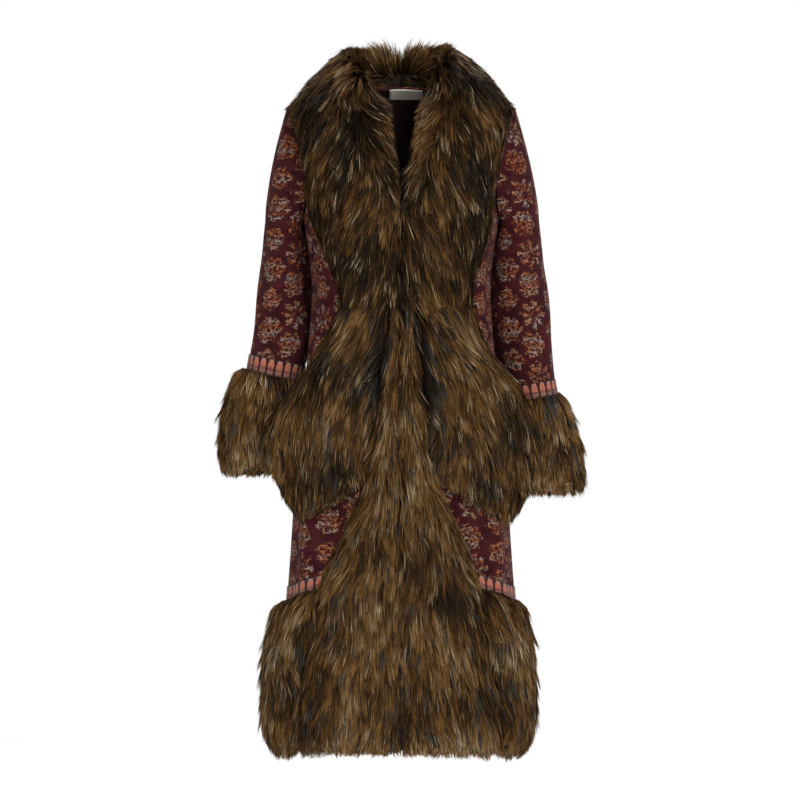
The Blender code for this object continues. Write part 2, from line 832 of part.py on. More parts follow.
for name, side in SIDES:
    points, normals, turns = BODY[name][0]
    part = (slice(WAIST_ROW, HEM_ROW + 1), slice(0, BAND_COLS + 1))
    p, n = with_hang(points[part], normals[part], turns[part])
    rows, cols = p.shape[:2]
    thick = np.zeros((rows, cols))
    spill = np.zeros_like(p)
    for i in range(rows):
        walk = np.linalg.norm(np.diff(p[i], axis=0), axis=1)
        walk = np.concatenate([[0], np.cumsum(walk)])
        full = 28 + 12 * min(i / 10, 1.0)
        for j in range(cols):
            beside = walk[-1] - walk[j]
            middle = 0.74 + 0.26 * eased(walk[j], 22 * MM)
            edge = max(eased(beside, min(26 * MM, 0.6 * walk[-1])), 0.24)
            foot = 1.0 if i < rows - 2 else (0.85 if i == rows - 2 else 0.42)
            uneven = lock(i, 1.7 * j, 3 * side) if 0 < j < cols - 1 else 1.0
            thick[i, j] = full * MM * min(middle, edge) * foot * uneven
            if i == rows - 1:
                spill[i, j] = unit(p[-1, j] - p[-2, j]) * 0.4 * hem_hang(turns[-1, j] * MM)
    solid_seams = ("first", "top", "last")
    fur_pad("front_band_" + name, p, n, thick, solid_seams, spill)

# The hip panels: from the waist out over the hip, flaring clear of the cloth at the side
for name, side in SIDES:
    points, normals, _ = BODY[name][0]
    part = (slice(WAIST_ROW, HIP_END_ROW + 1), slice(BAND_COLS, FUR_COLS + 1))
    p = points[part]
    n = normals[part]
    low = inset(p, ("first", "top"))
    base = low + n * (CLOTH + REST)
    rows, cols = p.shape[:2]
    wing_base = np.zeros((rows, 2, 3))
    wing_top = np.zeros((rows, 2, 3))
    tops = np.zeros_like(p)
    spill = np.zeros((rows, cols + 2, 3))
    for i in range(rows):
        full = 30 + 12 * eased(i, 5)
        reach = FLARE_AT[name](p[i, -1, 2])
        end = 1.0 if i < rows - 2 else (0.9 if i == rows - 2 else 0.5)
        walk = np.linalg.norm(np.diff(p[i], axis=0), axis=1)
        walk = np.concatenate([[0], np.cumsum(walk)])
        grown = min(reach / (40 * MM), 1.0)
        for j in range(cols):
            inner_edge = max(eased(walk[j], 24 * MM), 0.24)
            outer_edge = max(eased(walk[-1] - walk[j], 26 * MM), 0.34 + 0.5 * grown)
            uneven = lock(i, 1.9 * j, 5 * side + 1) if j else 1.0
            thick = full * MM * min(inner_edge, outer_edge) * end * uneven
            direction = n[i, j] + np.array([side * 0.25 * grown * j / (cols - 1), 0, 0])
            tops[i, j] = base[i, j] + unit(direction) * thick
        root = base[i, -1]
        skin = tops[i, -1] - root
        along = unit(points[WAIST_ROW + i, FUR_COLS + 1] - points[WAIST_ROW + i, FUR_COLS])
        out = unit(along * (1 - grown) + np.array([side * 1.0, -0.12, -0.18]) * grown)
        for w, share in enumerate((0.55, 1.0)):
            wing_base[i, w] = root + out * reach * share
            wing_top[i, w] = wing_base[i, w] + skin * (1 - 0.6 * share)
        spill[i, -1] = out * (1 + 3 * grown) * MM
    for j in range(1, cols + 2):
        spill[-1, j] = spill[-1, j] + np.array([0, 0, -8 * MM])
    all_base = np.concatenate([base, wing_base], axis=1)
    all_tops = np.concatenate([tops, wing_top], axis=1)
    faces = grid_faces(rows, cols + 2)
    solid(
        "hip_fur_" + name, FUR, flat(all_tops), flat(all_base), faces, bulge=flat(spill), levels=2
    )


def border(name, points, normals, seams):
    low = inset(points, seams)
    base = low + normals * (CLOTH + REST)
    tops = base + normals * BORDER
    faces = grid_faces(points.shape[0], points.shape[1])
    solid(name, TRIM, flat(tops), flat(base), faces)


def hem_thickness(p, shares, beside_band):
    """Thickness of the hem fur, rounded at its top, at its foot and beside the front bands."""
    rows, cols = p.shape[:2]
    thick = np.zeros((rows, cols))
    for i in range(rows):
        walk = np.linalg.norm(np.diff(p[i], axis=0), axis=1)
        walk = np.concatenate([[0], np.cumsum(walk)])
        for j in range(cols):
            edge = max(eased(walk[j], 26 * MM), 0.24) if beside_band else 1.0
            uneven = lock(i, 1.3 * j, 2) if 0 < j < cols - 1 else 1.0
            share = shares[0] + (shares[1] - shares[0]) * j / (cols - 1)
            thick[i, j] = min(38 * edge, HEM_FUR[i]) * MM * share * uneven
    return thick


for name, side in SIDES:
    points, normals, turns = BODY[name][0]
    part = (slice(BORDER_TOP_ROW, BORDER_END_ROW + 1), slice(BAND_COLS, SIDE_COLS + 1))
    border("hem_border_" + name, points[part], normals[part], ("first", "last", "bottom"))
    part = (slice(BORDER_END_ROW, HEM_ROW + 1), slice(BAND_COLS, SIDE_COLS + 1))
    p, n = with_hang(points[part], normals[part], turns[part])
    spill = np.zeros_like(p)
    for j in range(p.shape[1]):
        hang = hem_hang(turns[-1, BAND_COLS + j] * MM)
        spill[-1, j] = unit(p[-1, j] - p[-2, j]) * 0.4 * hang
    thick = hem_thickness(p, (HEM_SHARE[name], HEM_SHARE[name]), True)
    fur_pad("hem_fur_" + name, p, n, thick, ("first", "last", "top"), spill)

back_turns = np.concatenate([BODY["right"][1][2][:, ::-1], BODY["left"][1][2][:, 1:]], axis=1)
part = (slice(BORDER_TOP_ROW, BORDER_END_ROW + 1), slice(0, BACK_COLS + 1))
border("hem_border_back", back_points[part], back_normals[part], ("first", "last", "bottom"))
part = (slice(BORDER_END_ROW, HEM_ROW + 1), slice(0, BACK_COLS + 1))
p, n = with_hang(back_points[part], back_normals[part], back_turns[part])
spill = np.zeros_like(p)
for j in range(p.shape[1]):
    spill[-1, j] = unit(p[-1, j] - p[-2, j]) * 0.4 * hem_hang(back_turns[-1, j] * MM)
thick = hem_thickness(p, (HEM_SHARE["right"], HEM_SHARE["left"]), False)
fur_pad("hem_fur_back", p, n, thick, ("first", "last", "top"), spill)


# The sleeves: from the armhole's loop into rings square to the arm
def sleeve_ring(table, row, side, grow):
    """Points round one ring, grown by so much, from the outer side by way of the front."""
    z, out, y, across, deep = [v * MM for v in table[row + 1]]
    above = table[max(row, 1)]
    below = table[min(row + 2, len(table) - 1)]
    tilt = math.atan2(below[1] - above[1], above[0] - below[0])
    centre = np.array([side * out, y, z])
    e_out = np.array([side * math.cos(tilt), 0, math.sin(tilt)])
    e_front = np.array([0, -1.0, 0])
    ring = []
    ways = []
    for k in range(RING_POINTS):
        turn = 2 * math.pi * k / RING_POINTS
        c = math.cos(turn)
        s = math.sin(turn)
        ring.append(centre + e_out * (across + grow) * c + e_front * (deep + grow) * s)
        ways.append(unit(e_out * c * deep + e_front * s * across))
    return np.array(ring), np.array(ways)


def bezier(a, b, c, d, t):
    u = 1 - t
    return a * u**3 + b * 3 * u * u * t + c * 3 * u * t * t + d * t**3


for name, side in SIDES:
    table = SLEEVE_RIGHT if side < 0 else SLEEVE_LEFT
    spots, ways, mitres, away = BODY[name][2]
    inner_rows = []
    outer_rows = []
    ring_in, _ = sleeve_ring(table, 0, side, -CLOTH)
    paths = []
    for k in range(RING_POINTS):
        start = spots[k] + away[k] * SEAM / 2
        high = 0.5 + 0.5 * math.cos(2 * math.pi * k / RING_POINTS)
        reach = high * 78 * MM + 20 * MM
        rise = np.array([-side * 0.02, 0, 1.0]) * (high * 70 + 18) * MM
        paths.append((start, start + ways[k] * reach, ring_in[k] + rise, ring_in[k]))
    for t in UPPER_RINGS:
        row = np.array([bezier(*path, t) for path in paths])
        ahead = np.array([bezier(*path, t + 0.01) for path in paths])
        inner_rows.append(row)
        if t == 0.0:
            outer_rows.append(row + np.array(mitres))
            continue
        middle = row.mean(axis=0)
        grown = []
        for k in range(RING_POINTS):
            out = unit(np.cross(row[(k + 1) % RING_POINTS] - row[k - 1], ahead[k] - row[k]))
            if np.dot(out, row[k] - middle) < 0:
                out = -out
            grown.append(row[k] + out * CLOTH)
        outer_rows.append(grown)
    for r in range(SLEEVE_END_RING + 1):
        inner_rows.append(sleeve_ring(table, r, side, -CLOTH)[0])
        outer_rows.append(sleeve_ring(table, r, side, 0)[0])
    inner = np.array(inner_rows)
    outer = np.array(outer_rows)
    faces = grid_faces(outer.shape[0], RING_POINTS, ring=True)
    solid("sleeve_" + name, KNIT, flat(outer), flat(inner), faces)

    low = np.array([sleeve_ring(table, r, side, REST)[0] for r in (CUFF_TOP_RING, CUFF_FUR_RING)])
    top = np.array(
        [sleeve_ring(table, r, side, REST + BORDER)[0] for r in (CUFF_TOP_RING, CUFF_FUR_RING)]
    )
    faces = grid_faces(2, RING_POINTS, ring=True)
    solid("cuff_border_" + name, TRIM, flat(top), flat(low), faces)

    base = []
    tops = []
    spill = []
    for r, (outside, around, near_hip) in enumerate(CUFF_FUR[name]):
        ring, away_from = sleeve_ring(table, CUFF_FUR_RING + r, side, REST)
        if r == 0:
            following = sleeve_ring(table, CUFF_FUR_RING + 1, side, REST)[0]
            ring = ring + (following - ring) * (SEAM / np.linalg.norm(following - ring, axis=1))[:, None]
        base_row = []
        top_row = []
        spill_row = []
        for k in range(RING_POINTS):
            turn = 2 * math.pi * k / RING_POINTS
            c = math.cos(turn)
            s2 = math.sin(turn) ** 2
            full = outside * max(c, 0) ** 2 + around * s2 + near_hip * max(-c, 0) ** 2
            full = full * lock(r, k, side) if near_hip * 2 < full else full
            base_row.append(ring[k])
            top_row.append(ring[k] + away_from[k] * full * MM + np.array([0, 0, -4 * MM * r]))
            drop = -9 if r == len(CUFF_FUR[name]) - 1 else 0
            spill_row.append((0, 0, (drop - 3 * math.sin(3 * turn)) * MM if drop else 0))
        base.append(base_row)
        tops.append(top_row)
        spill.append(spill_row)
    base = np.array(base)
    tops = np.array(tops)
    faces = grid_faces(len(CUFF_FUR[name]), RING_POINTS, ring=True)
    solid(
        "cuff_fur_" + name,
        FUR,
        flat(tops),
        flat(base),
        faces,
        bulge=flat(np.array(spill, float)),
        levels=2,
    )
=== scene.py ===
import math

import bmesh
import bpy
import numpy as np
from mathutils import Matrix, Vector
from mathutils.bvhtree import BVHTree
from mathutils.kdtree import KDTree


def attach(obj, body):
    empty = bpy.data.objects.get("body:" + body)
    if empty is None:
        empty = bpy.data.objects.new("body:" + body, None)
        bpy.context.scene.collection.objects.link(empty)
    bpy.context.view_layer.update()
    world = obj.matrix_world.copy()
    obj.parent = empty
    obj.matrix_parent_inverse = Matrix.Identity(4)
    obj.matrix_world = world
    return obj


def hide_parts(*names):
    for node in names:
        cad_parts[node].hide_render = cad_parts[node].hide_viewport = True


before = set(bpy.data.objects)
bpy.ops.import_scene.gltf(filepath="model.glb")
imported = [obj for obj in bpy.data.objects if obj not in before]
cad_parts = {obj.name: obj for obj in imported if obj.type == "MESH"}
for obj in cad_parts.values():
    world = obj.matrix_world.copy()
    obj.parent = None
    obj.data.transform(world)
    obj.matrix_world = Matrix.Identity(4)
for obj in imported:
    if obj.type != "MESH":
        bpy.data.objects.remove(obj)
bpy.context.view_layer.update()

# Back: one panel of brushed wine wool, knitted in a jacquard of flowers and rosettes, from
# the shoulder seams to the hem. It is sewn to the fronts at the shoulders and the sides.

MM = 0.001
SHARP = 0.9  # radians


def in_scene(name, data):
    """A new object of the scene."""
    made = bpy.data.objects.new(name, data)
    bpy.context.scene.collection.objects.link(made)
    return made


def laid_on(node, ending, levels):
    """A new piece on a solid's form: its triangles paired, and rounded between its points."""
    piece = in_scene(node + ending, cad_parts[node].data.copy())
    piece.data.materials.clear()
    form = bmesh.new()
    form.from_mesh(piece.data)
    bmesh.ops.remove_doubles(form, verts=form.verts, dist=0.02 * MM)
    bmesh.ops.join_triangles(
        form, faces=form.faces, angle_face_threshold=0.5, angle_shape_threshold=1.4
    )
    kept = form.edges.layers.float.new("crease_edge")
    for edge in form.edges:
        if edge.is_manifold and edge.calc_face_angle() > SHARP:
            edge[kept] = 1.0
    form.to_mesh(piece.data)
    form.free()
    bpy.ops.object.select_all(action="DESELECT")
    piece.select_set(True)
    bpy.context.view_layer.objects.active = piece
    smooth = piece.modifiers.new("smooth", "SUBSURF")
    smooth.levels = smooth.render_levels = levels
    bpy.ops.object.modifier_apply(modifier="smooth")
    piece.data.shade_smooth()
    return piece


def read(items, what, kind, width=1):
    """What a mesh's points, corners or faces hold, as one row of numbers."""
    flat = np.empty(len(items) * width, kind)
    items.foreach_get(what, flat)
    return flat


def points_of(piece):
    """The points of a piece as an array."""
    return read(piece.data.vertices, "co", np.float32, 3).reshape(-1, 3).astype(float)


def place_points(piece, points):
    """Puts the points of a piece back."""
    piece.data.vertices.foreach_set("co", points.astype(np.float32).ravel())
    piece.data.update()


# Level sections of the body in millimetres, as the solids have them
BODY = np.array([
    # z, half width, depth in front, depth behind
    (-1190, 207, 140, 140), (-1050, 203, 136, 136), (-900, 197, 131, 132),
    (-800, 190, 126, 129), (-700, 184, 121, 126), (-600, 174, 116, 120),
    (-520, 167, 110, 110), (-440, 157, 105, 98), (-371, 153, 105, 90),
    (-300, 158, 117, 95), (-236, 170, 125, 103), (-175, 180, 122, 107),
    (-105, 190, 112, 105), (-38, 206, 100, 97), (20, 211, 84, 84),
]) * MM
# how square the sections are, and the way round a quarter of the middle one
SQUARE = 2.35
GIRTH = np.linspace(0, math.pi / 2, 240)
LINE = np.stack([
    0.180 * np.sin(GIRTH) ** (2 / SQUARE), 0.118 * np.cos(GIRTH) ** (2 / SQUARE)
], 1)
ROUND = np.concatenate([[0], np.cumsum(np.linalg.norm(np.diff(LINE, axis=0), axis=1))])
# a quarter takes five motifs, so the side seams and the middle of the back lie between two
QUARTER = 0.252
ROUND *= QUARTER / ROUND[-1]
SEAM_GAP = 0.4 * MM


def unit(ways):
    """The ways, each made one long."""
    return ways / np.maximum(np.linalg.norm(ways, axis=1, keepdims=True), 1e-9)


def about_body(points):
    """The level way out of the body at each point, and how far round it the point lies."""
    x, y, z = np.abs(points[:, 0]), np.abs(points[:, 1]), points[:, 2]
    wide = np.interp(z, BODY[:, 0], BODY[:, 1])
    deep = np.where(
        points[:, 1] < 0,
        np.interp(z, BODY[:, 0], BODY[:, 2]),
        np.interp(z, BODY[:, 0], BODY[:, 3]),
    )
    # above the chest the section closes in to the shoulder seam
    shoulder = np.interp(x, [0, 0.075, 0.16, 0.23], [0.017, -0.002, -0.024, -0.052])
    drop = np.clip((shoulder - z) / 0.095, 0.02, 1)
    deep = deep * np.sqrt(1 - (1 - drop) ** 2)
    turn = np.arctan2((x / wide) ** (SQUARE / 2), (y / deep) ** (SQUARE / 2))
    out = unit(np.stack([points[:, 0] / 0.032, points[:, 1] / 0.014, 0 * x], 1))
    return out, np.sign(points[:, 0]) * np.interp(turn, GIRTH, ROUND)


def seamed(points):
    """The points, with those at the shoulder and side seams brought together there."""
    points = points.copy()
    points[np.abs(points[:, 1]) < SEAM_GAP, 1] = 0
    return points


def crease(piece, points, out, round_it, folds):
    """Lays soft creases in the cloth: ridges above nought and troughs below it."""
    lift = np.zeros(len(points))
    for place, middle, reach, width, slant, depth in folds:
        height = points[:, 2] - middle * MM
        across = (round_it - place * MM - slant * height) / (width * MM)
        along = np.abs(height / (reach * MM))
        lift += depth * MM * np.exp(-(across**2)) * np.exp(-(along**2.6))
    place_points(piece, points + out * lift[:, None])


def stand_in(piece, node, material):
    """Has a piece take its solid's place, with its material and body."""
    piece.data.materials.append(material)
    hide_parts(node)
    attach(piece, "root")


def map_cloth(piece, across, up, seam=None):
    """Lays the piece's own map on it, across and up. seam is the way round a tube."""
    loops = read(piece.data.loops, "vertex_index", int)
    u, v = across[loops], up[loops]
    if seam is not None:
        starts = read(piece.data.polygons, "loop_start", int)
        sizes = np.diff(np.append(starts, len(loops)))
        lowest = np.repeat(np.minimum.reduceat(u, starts), sizes)
        highest = np.repeat(np.maximum.reduceat(u, starts), sizes)
        u = np.where((highest - lowest > seam / 2) & (u < 0), u + seam, u)
    layer = piece.data.uv_layers.new(name="Cloth")
    layer.uv.foreach_set("vector", np.stack([u, v], 1).astype(np.float32).ravel())


def operator(operation):
    """A Python operator that adds a Math node."""
    return lambda wire, *others: wire.sum(operation, *others)


class Wire:
    """A shader socket that takes part in Python sums."""

    def __init__(self, socket, paint):
        self.socket, self.paint = socket, paint

    def sum(self, operation, *others):
        inputs = dict(enumerate((self, *others)))
        return self.paint.node("ShaderNodeMath", {"operation": operation}, inputs)

    __add__ = __radd__ = operator("ADD")
    __mul__ = __rmul__ = operator("MULTIPLY")
    __sub__ = operator("SUBTRACT")
    __truediv__ = operator("DIVIDE")
    __pow__ = operator("POWER")
    __mod__ = operator("FLOORED_MODULO")
    __gt__ = operator("GREATER_THAN")
    __lt__ = operator("LESS_THAN")
    __abs__ = operator("ABSOLUTE")
    __floor__ = operator("FLOOR")

    def __rsub__(self, other):
        return self * -1 + other

    def ease(self, start, end):
        """Nought up to start, one from end on, and smooth between."""
        return self.paint.node(
            "ShaderNodeMapRange",
            {"interpolation_type": "SMOOTHSTEP"},
            {"Value": self, "From Min": start, "From Max": end},
        )


class Paint:
    """A material under way."""

    def __init__(self, name):
        self.material = bpy.data.materials.new(name)
        self.material.use_nodes = True
        self.nodes = self.material.node_tree.nodes
        self.nodes.clear()

    def node(self, kind, settings=None, inputs=None, output=0):
        """Makes a node, sets its settings first and then its sockets, and gives an output."""
        made = self.nodes.new(kind)
        for key, value in (settings or {}).items():
            if key == "stops":
                ramp = made.color_ramp
                while len(ramp.elements) < len(value):
                    ramp.elements.new(1.0)
                for element, (place, colour) in zip(ramp.elements, value):
                    element.position = place
                    element.color = (*colour, 1.0)
            else:
                setattr(made, key, value)
        for key, value in (inputs or {}).items():
            if isinstance(value, Wire):
                self.material.node_tree.links.new(value.socket, made.inputs[key])
            else:
                made.inputs[key].default_value = value
        return Wire(made.outputs[output], self)

    def own_map(self, name):
        """The two numbers of a piece's own map."""
        place = self.node("ShaderNodeUVMap", {"uv_map": name})
        return [self.node("ShaderNodeSeparateXYZ", None, {0: place}, k) for k in (0, 1)]

    def place(self):
        """The place in the coat itself."""
        return self.node("ShaderNodeTexCoord", output="Object")

    def join(self, x, y, z=0.0):
        return self.node("ShaderNodeCombineXYZ", None, {0: x, 1: y, 2: z})

    def spots(self, x, y):
        """Another random number for each pair of whole numbers."""
        settings = {"noise_dimensions": "2D"}
        return self.node("ShaderNodeTexWhiteNoise", settings, {"Vector": self.join(x, y)})

    def cloud(self, place, scale, detail=2.0):
        inputs = {"Vector": place, "Scale": scale, "Detail": detail}
        return self.node("ShaderNodeTexNoise", None, inputs)

    def bump(self, height, strength, depth):
        inputs = {"Strength": strength, "Distance": depth, "Height": height}
        return self.node("ShaderNodeBump", None, inputs)

    def ramp(self, factor, stops):
        """The colour of a ramp at factor. Each stop is a place and a colour on a screen."""
        stops = [(place, srgb(*colour)) for place, *colour in stops]
        return self.node("ShaderNodeValToRGB", {"stops": stops}, {0: factor})

    def mix(self, factor, a, b, blend="MIX"):
        """Colour a, and b where factor is one."""
        a, b = ((*c, 1.0) if isinstance(c, tuple) else c for c in (a, b))
        settings = {"data_type": "RGBA", "blend_type": blend}
        return self.node("ShaderNodeMix", settings, {0: factor, 6: a, 7: b}, 2)

    def finish(self, inputs):
        """Ends the material with its one cloth shader."""
        shader = self.node("ShaderNodeBsdfPrincipled", None, inputs)
        end = self.nodes.new("ShaderNodeOutputMaterial")
        self.material.node_tree.links.new(shader.socket, end.inputs["Surface"])
        return self.material


def srgb(r, g, b):
    """A colour from its values on a screen."""
    return tuple(
        c / 255 / 12.92 if c < 11 else ((c / 255 + 0.055) / 1.055) ** 2.4 for c in (r, g, b)
    )


# The jacquard: its stitches, and motifs set in columns, every other column dropped by half
STITCH_WIDE, STITCH_HIGH = 3.6 * MM, 2.4 * MM
MOTIF_WIDE, MOTIF_HIGH, MOTIF_REACH = QUARTER / 5, 54 * MM, 23.5 * MM
WANDER = 9 * MM


def jacquard():
    paint = Paint("jacquard_wool")
    u, v = paint.own_map("Cloth")

    def noise(x, y, detail=0.0):
        place = {"Vector": paint.join(x, y), "Scale": 1.0, "Detail": detail}
        return paint.node("ShaderNodeTexNoise", {"noise_dimensions": "2D"}, place)

    column = math.floor(u / STITCH_WIDE)
    row = math.floor(v / STITCH_HIGH)
    spot = paint.spots(column, row)
    x = (column + spot * 0.9 + 0.05) * STITCH_WIDE
    # the motifs' edges wander
    x = x + (noise(u / (9 * MM), v / (9 * MM)) - 0.5) * WANDER
    y = (row + 0.5) * STITCH_HIGH + (noise(u / (8 * MM) + 9, v / (8 * MM)) - 0.5) * WANDER
    band = math.floor(x / MOTIF_WIDE)
    odd = band % 2
    level = y / MOTIF_HIGH + odd * 0.5
    step = math.floor(level)
    second = step % 2
    lean = (1 - odd) * second * 0.16
    p = (x / MOTIF_WIDE - band - 0.5 + lean) * 2
    q = (level - step - 0.5) * (MOTIF_HIGH / MOTIF_REACH)
    far = (p * p + q * q) ** 0.5
    turn = q.sum("ARCTAN2", p) + math.pi * 2

    def folded_turn(parts):
        """The angle from the nearest of so many rays."""
        return (turn + math.pi / parts) % (2 * math.pi / parts) - math.pi / parts

    # a flower of eight pointed leaves
    aside = abs(far * folded_turn(8).sum("SINE"))
    leaf = far.ease(0.35, 0.7) * far.ease(1.15, 0.9) * 0.12 + 0.05
    flower = (leaf - aside).ease(-0.05, 0.05) * far.ease(1.12, 0.98) * far.ease(0.14, 0.22)

    def rings(parts, out, size):
        """A wreath of small rings."""
        around = folded_turn(parts)
        a = far * around.sum("COSINE") - out
        b = far * around.sum("SINE")
        near = (a * a + b * b) ** 0.5
        return near.ease(size + 0.07, size - 0.04) * near.ease(size * 0.3, size * 0.55)

    rosette = rings(7, 0.68, 0.29).sum("MAXIMUM", far.ease(0.36, 0.26) * far.ease(0.08, 0.16))
    wreath = rings(5, 0.5, 0.34)
    # a column of flowers and rosettes, then one of rosettes and wreaths
    pick = second + odd * 2
    motif = flower * (pick < 0.5)
    motif = motif.sum("MAXIMUM", rosette * (pick > 0.5) * (pick < 2.5))
    motif = motif.sum("MAXIMUM", wreath * (pick > 2.5))
    # the float of each coloured yarn shows as a short dash, and some sink under the ground
    dash = noise(u / (6.5 * MM) + spot * 0.3, row * 0.71, 1.0)
    shown = motif * (dash.ease(0.38, 0.56) * 0.88 + 0.1)
    yarn = noise(band * 2.7 + step * 1.9 + u / (60 * MM), row / 5, 1.0)
    yarns = paint.ramp(
        yarn.ease(0.25, 0.75) + (spot - 0.5) * 0.25,
        [
            (0.0, 114, 60, 38), (0.2, 156, 92, 54),
            (0.4, 158, 104, 80), (0.55, 120, 90, 58),
            (0.75, 170, 134, 114), (1.0, 136, 126, 120),
        ],
    )
    # brushed ground, browner about the motifs
    cloud = noise(u * 30, v * 30, 4.0)
    ground = paint.mix(cloud.ease(0.3, 0.7), srgb(48, 12, 18), srgb(76, 22, 29))
    around = far.ease(1.35, 0.9) * cloud.ease(0.42, 0.62) * 0.6
    ground = paint.mix(around, ground, srgb(48, 26, 20))
    cloth = paint.mix(shown, ground, yarns)
    # each stitch is a small slanting V of yarn, with painted shade where it dips and painted
    # light on its crest
    leg = u / STITCH_WIDE - column - 0.5
    rise = v / STITCH_HIGH + abs(leg) * 0.9
    strand = 1 - abs(rise - math.floor(rise) - 0.5) * 2
    loop = strand * (1 - (abs(leg) * 2) ** 3.0)
    light = loop.ease(0.0, 0.6) * 0.7 + spot * 0.3
    shade = paint.mix(light, (0.42, 0.40, 0.40), (1.15, 1.12, 1.1))
    cloth = paint.mix(1.0, cloth, shade, "MULTIPLY")
    fuzz = noise(u * 900, v * 540, 2.0)
    return paint.finish({
        "Base Color": cloth,
        "Roughness": 0.9,
        "Sheen Weight": 0.08,
        "Sheen Roughness": 0.5,
        "Sheen Tint": (0.6, 0.30, 0.34, 1.0),
        "Specular IOR Level": 0.12,
        "Normal": paint.bump(loop * 0.8 + fuzz * 0.4 + shown * 0.3, 0.6, 0.9 * MM),
    })


wool = jacquard()

# Each crease in millimetres: place round the body, middle height, reach, width, slant, depth
BACK_FOLDS = [
    (-92, -250, 130, 20, 0.22, -5), (-60, -300, 110, 17, 0.18, 4),
    (86, -240, 120, 20, -0.2, -5), (52, -320, 130, 18, -0.15, 4),
    (8, -390, 150, 22, 0.03, -4), (-128, -420, 160, 18, -0.08, 4),
    (134, -440, 150, 18, 0.1, 4), (-34, -620, 230, 24, 0.04, 5),
    (40, -650, 250, 22, -0.05, -4), (112, -700, 220, 24, 0.03, 4),
    (-108, -720, 240, 22, -0.04, -5),
]


def body_panel(node, folds):
    """A knitted panel of the body, with its creases, its map and its yarn."""
    piece = laid_on(node, "_knit", 2)
    points = seamed(points_of(piece))
    out, round_it = about_body(points)
    crease(piece, points, out, round_it, folds)
    # the yarns run on over the left side seam
    across = 2 * ROUND[-1] - round_it if node == "back_panel" else round_it
    map_cloth(piece, across, points[:, 2])
    stand_in(piece, node, wool)
    return piece


back = body_panel("back_panel", BACK_FOLDS)

# Fronts: two panels of the same wool, each from the shoulder to the hem, which meet edge
# to edge under the fur bands. Only the chest beside the arms and a piece of the skirt show.

FRONT_FOLDS = [
    (-205, -250, 100, 18, 0.12, -4), (-188, -330, 90, 16, -0.1, 3),
    (208, -270, 110, 18, -0.12, -4), (190, -350, 90, 16, 0.1, 3),
    (-172, -760, 190, 20, 0.03, 5), (-205, -780, 170, 18, -0.03, -4),
    (-226, -420, 60, 30, 0.0, 3), (226, -410, 70, 30, 0.0, 4),
    (176, -750, 190, 20, -0.04, 5), (210, -790, 160, 18, 0.04, -4),
]
fronts = {side: body_panel("front_" + side, FRONT_FOLDS) for side in ("right", "left")}

# Sleeves: knitted tubes of the same wool, set into the armholes with a plain head, and
# straight down to the borders above the cuffs. The left one hangs a little lower.

ARMS = {
    # middle of the arm from the shoulder down: height, distance out and depth
    "right": [(-40, 172, 0), (-200, 190, 8), (-300, 201.5, 22), (-412, 206.5, 32),
              (-506, 223, 36), (-595, 240, 38), (-668, 247, 40)],
    "left": [(-40, 172, 0), (-200, 191, 8), (-300, 204, 22), (-432, 212, 33),
             (-518, 224, 36), (-634, 246, 39), (-706, 251, 42)],
}
SIGN = {"right": -1, "left": 1}
ARM_ROUND = 54 * MM
SLEEVE_FOLDS = {
    "right": [
        (30, -215, 70, 13, 0.5, -3.5), (-20, -300, 85, 14, -0.35, 3),
        (55, -330, 60, 12, 0.45, -3), (5, -400, 70, 13, 0.3, -2.5),
        (110, -250, 90, 14, -0.4, -3), (130, -350, 80, 14, 0.3, 3),
        (-90, -240, 70, 12, 0.4, -3), (84, -252, 55, 26, 0.0, 6),
        (84, -430, 45, 26, 0.0, 3), (-70, -380, 80, 14, -0.3, 3),
    ],
    "left": [
        (-28, -230, 75, 13, -0.5, -3.5), (24, -320, 90, 14, 0.35, 3),
        (-50, -350, 65, 12, -0.4, -3), (0, -425, 70, 13, -0.3, -2.5),
        (-112, -260, 90, 14, 0.4, -3), (-128, -370, 80, 14, -0.3, 3),
        (92, -250, 70, 12, -0.4, -3), (-84, -252, 55, 26, 0.0, 6),
        (-84, -420, 60, 26, 0.0, 4), (72, -400, 80, 14, 0.3, 3),
    ],
}


def about_arm(points, side):
    """The way out of the arm at each point, and how far round it the point lies."""
    arm = np.array(sorted(ARMS[side])) * MM
    x = points[:, 0] - SIGN[side] * np.interp(points[:, 2], arm[:, 0], arm[:, 1])
    y = points[:, 1] - np.interp(points[:, 2], arm[:, 0], arm[:, 2])
    return unit(np.stack([x, y, 0 * x], 1)), np.arctan2(x, -y) * ARM_ROUND


sleeves = {}
for side in ("right", "left"):
    sleeve = laid_on("sleeve_" + side, "_knit", 2)
    points = points_of(sleeve)
    out, round_it = about_arm(points, side)
    crease(sleeve, points, out, round_it, SLEEVE_FOLDS[side])
    map_cloth(sleeve, round_it, points[:, 2] * 1.02, 2 * math.pi * ARM_ROUND)
    stand_in(sleeve, "sleeve_" + side, wool)
    sleeves[side] = sleeve

# Borders: a narrow band of plain knitted blocks, salmon over greyish pink on wine, above
# the fur at each wrist and all round above the fur hem.

BLOCK_WIDE = 16 * MM
TRIM_ROWS = 9
RIBS = 5


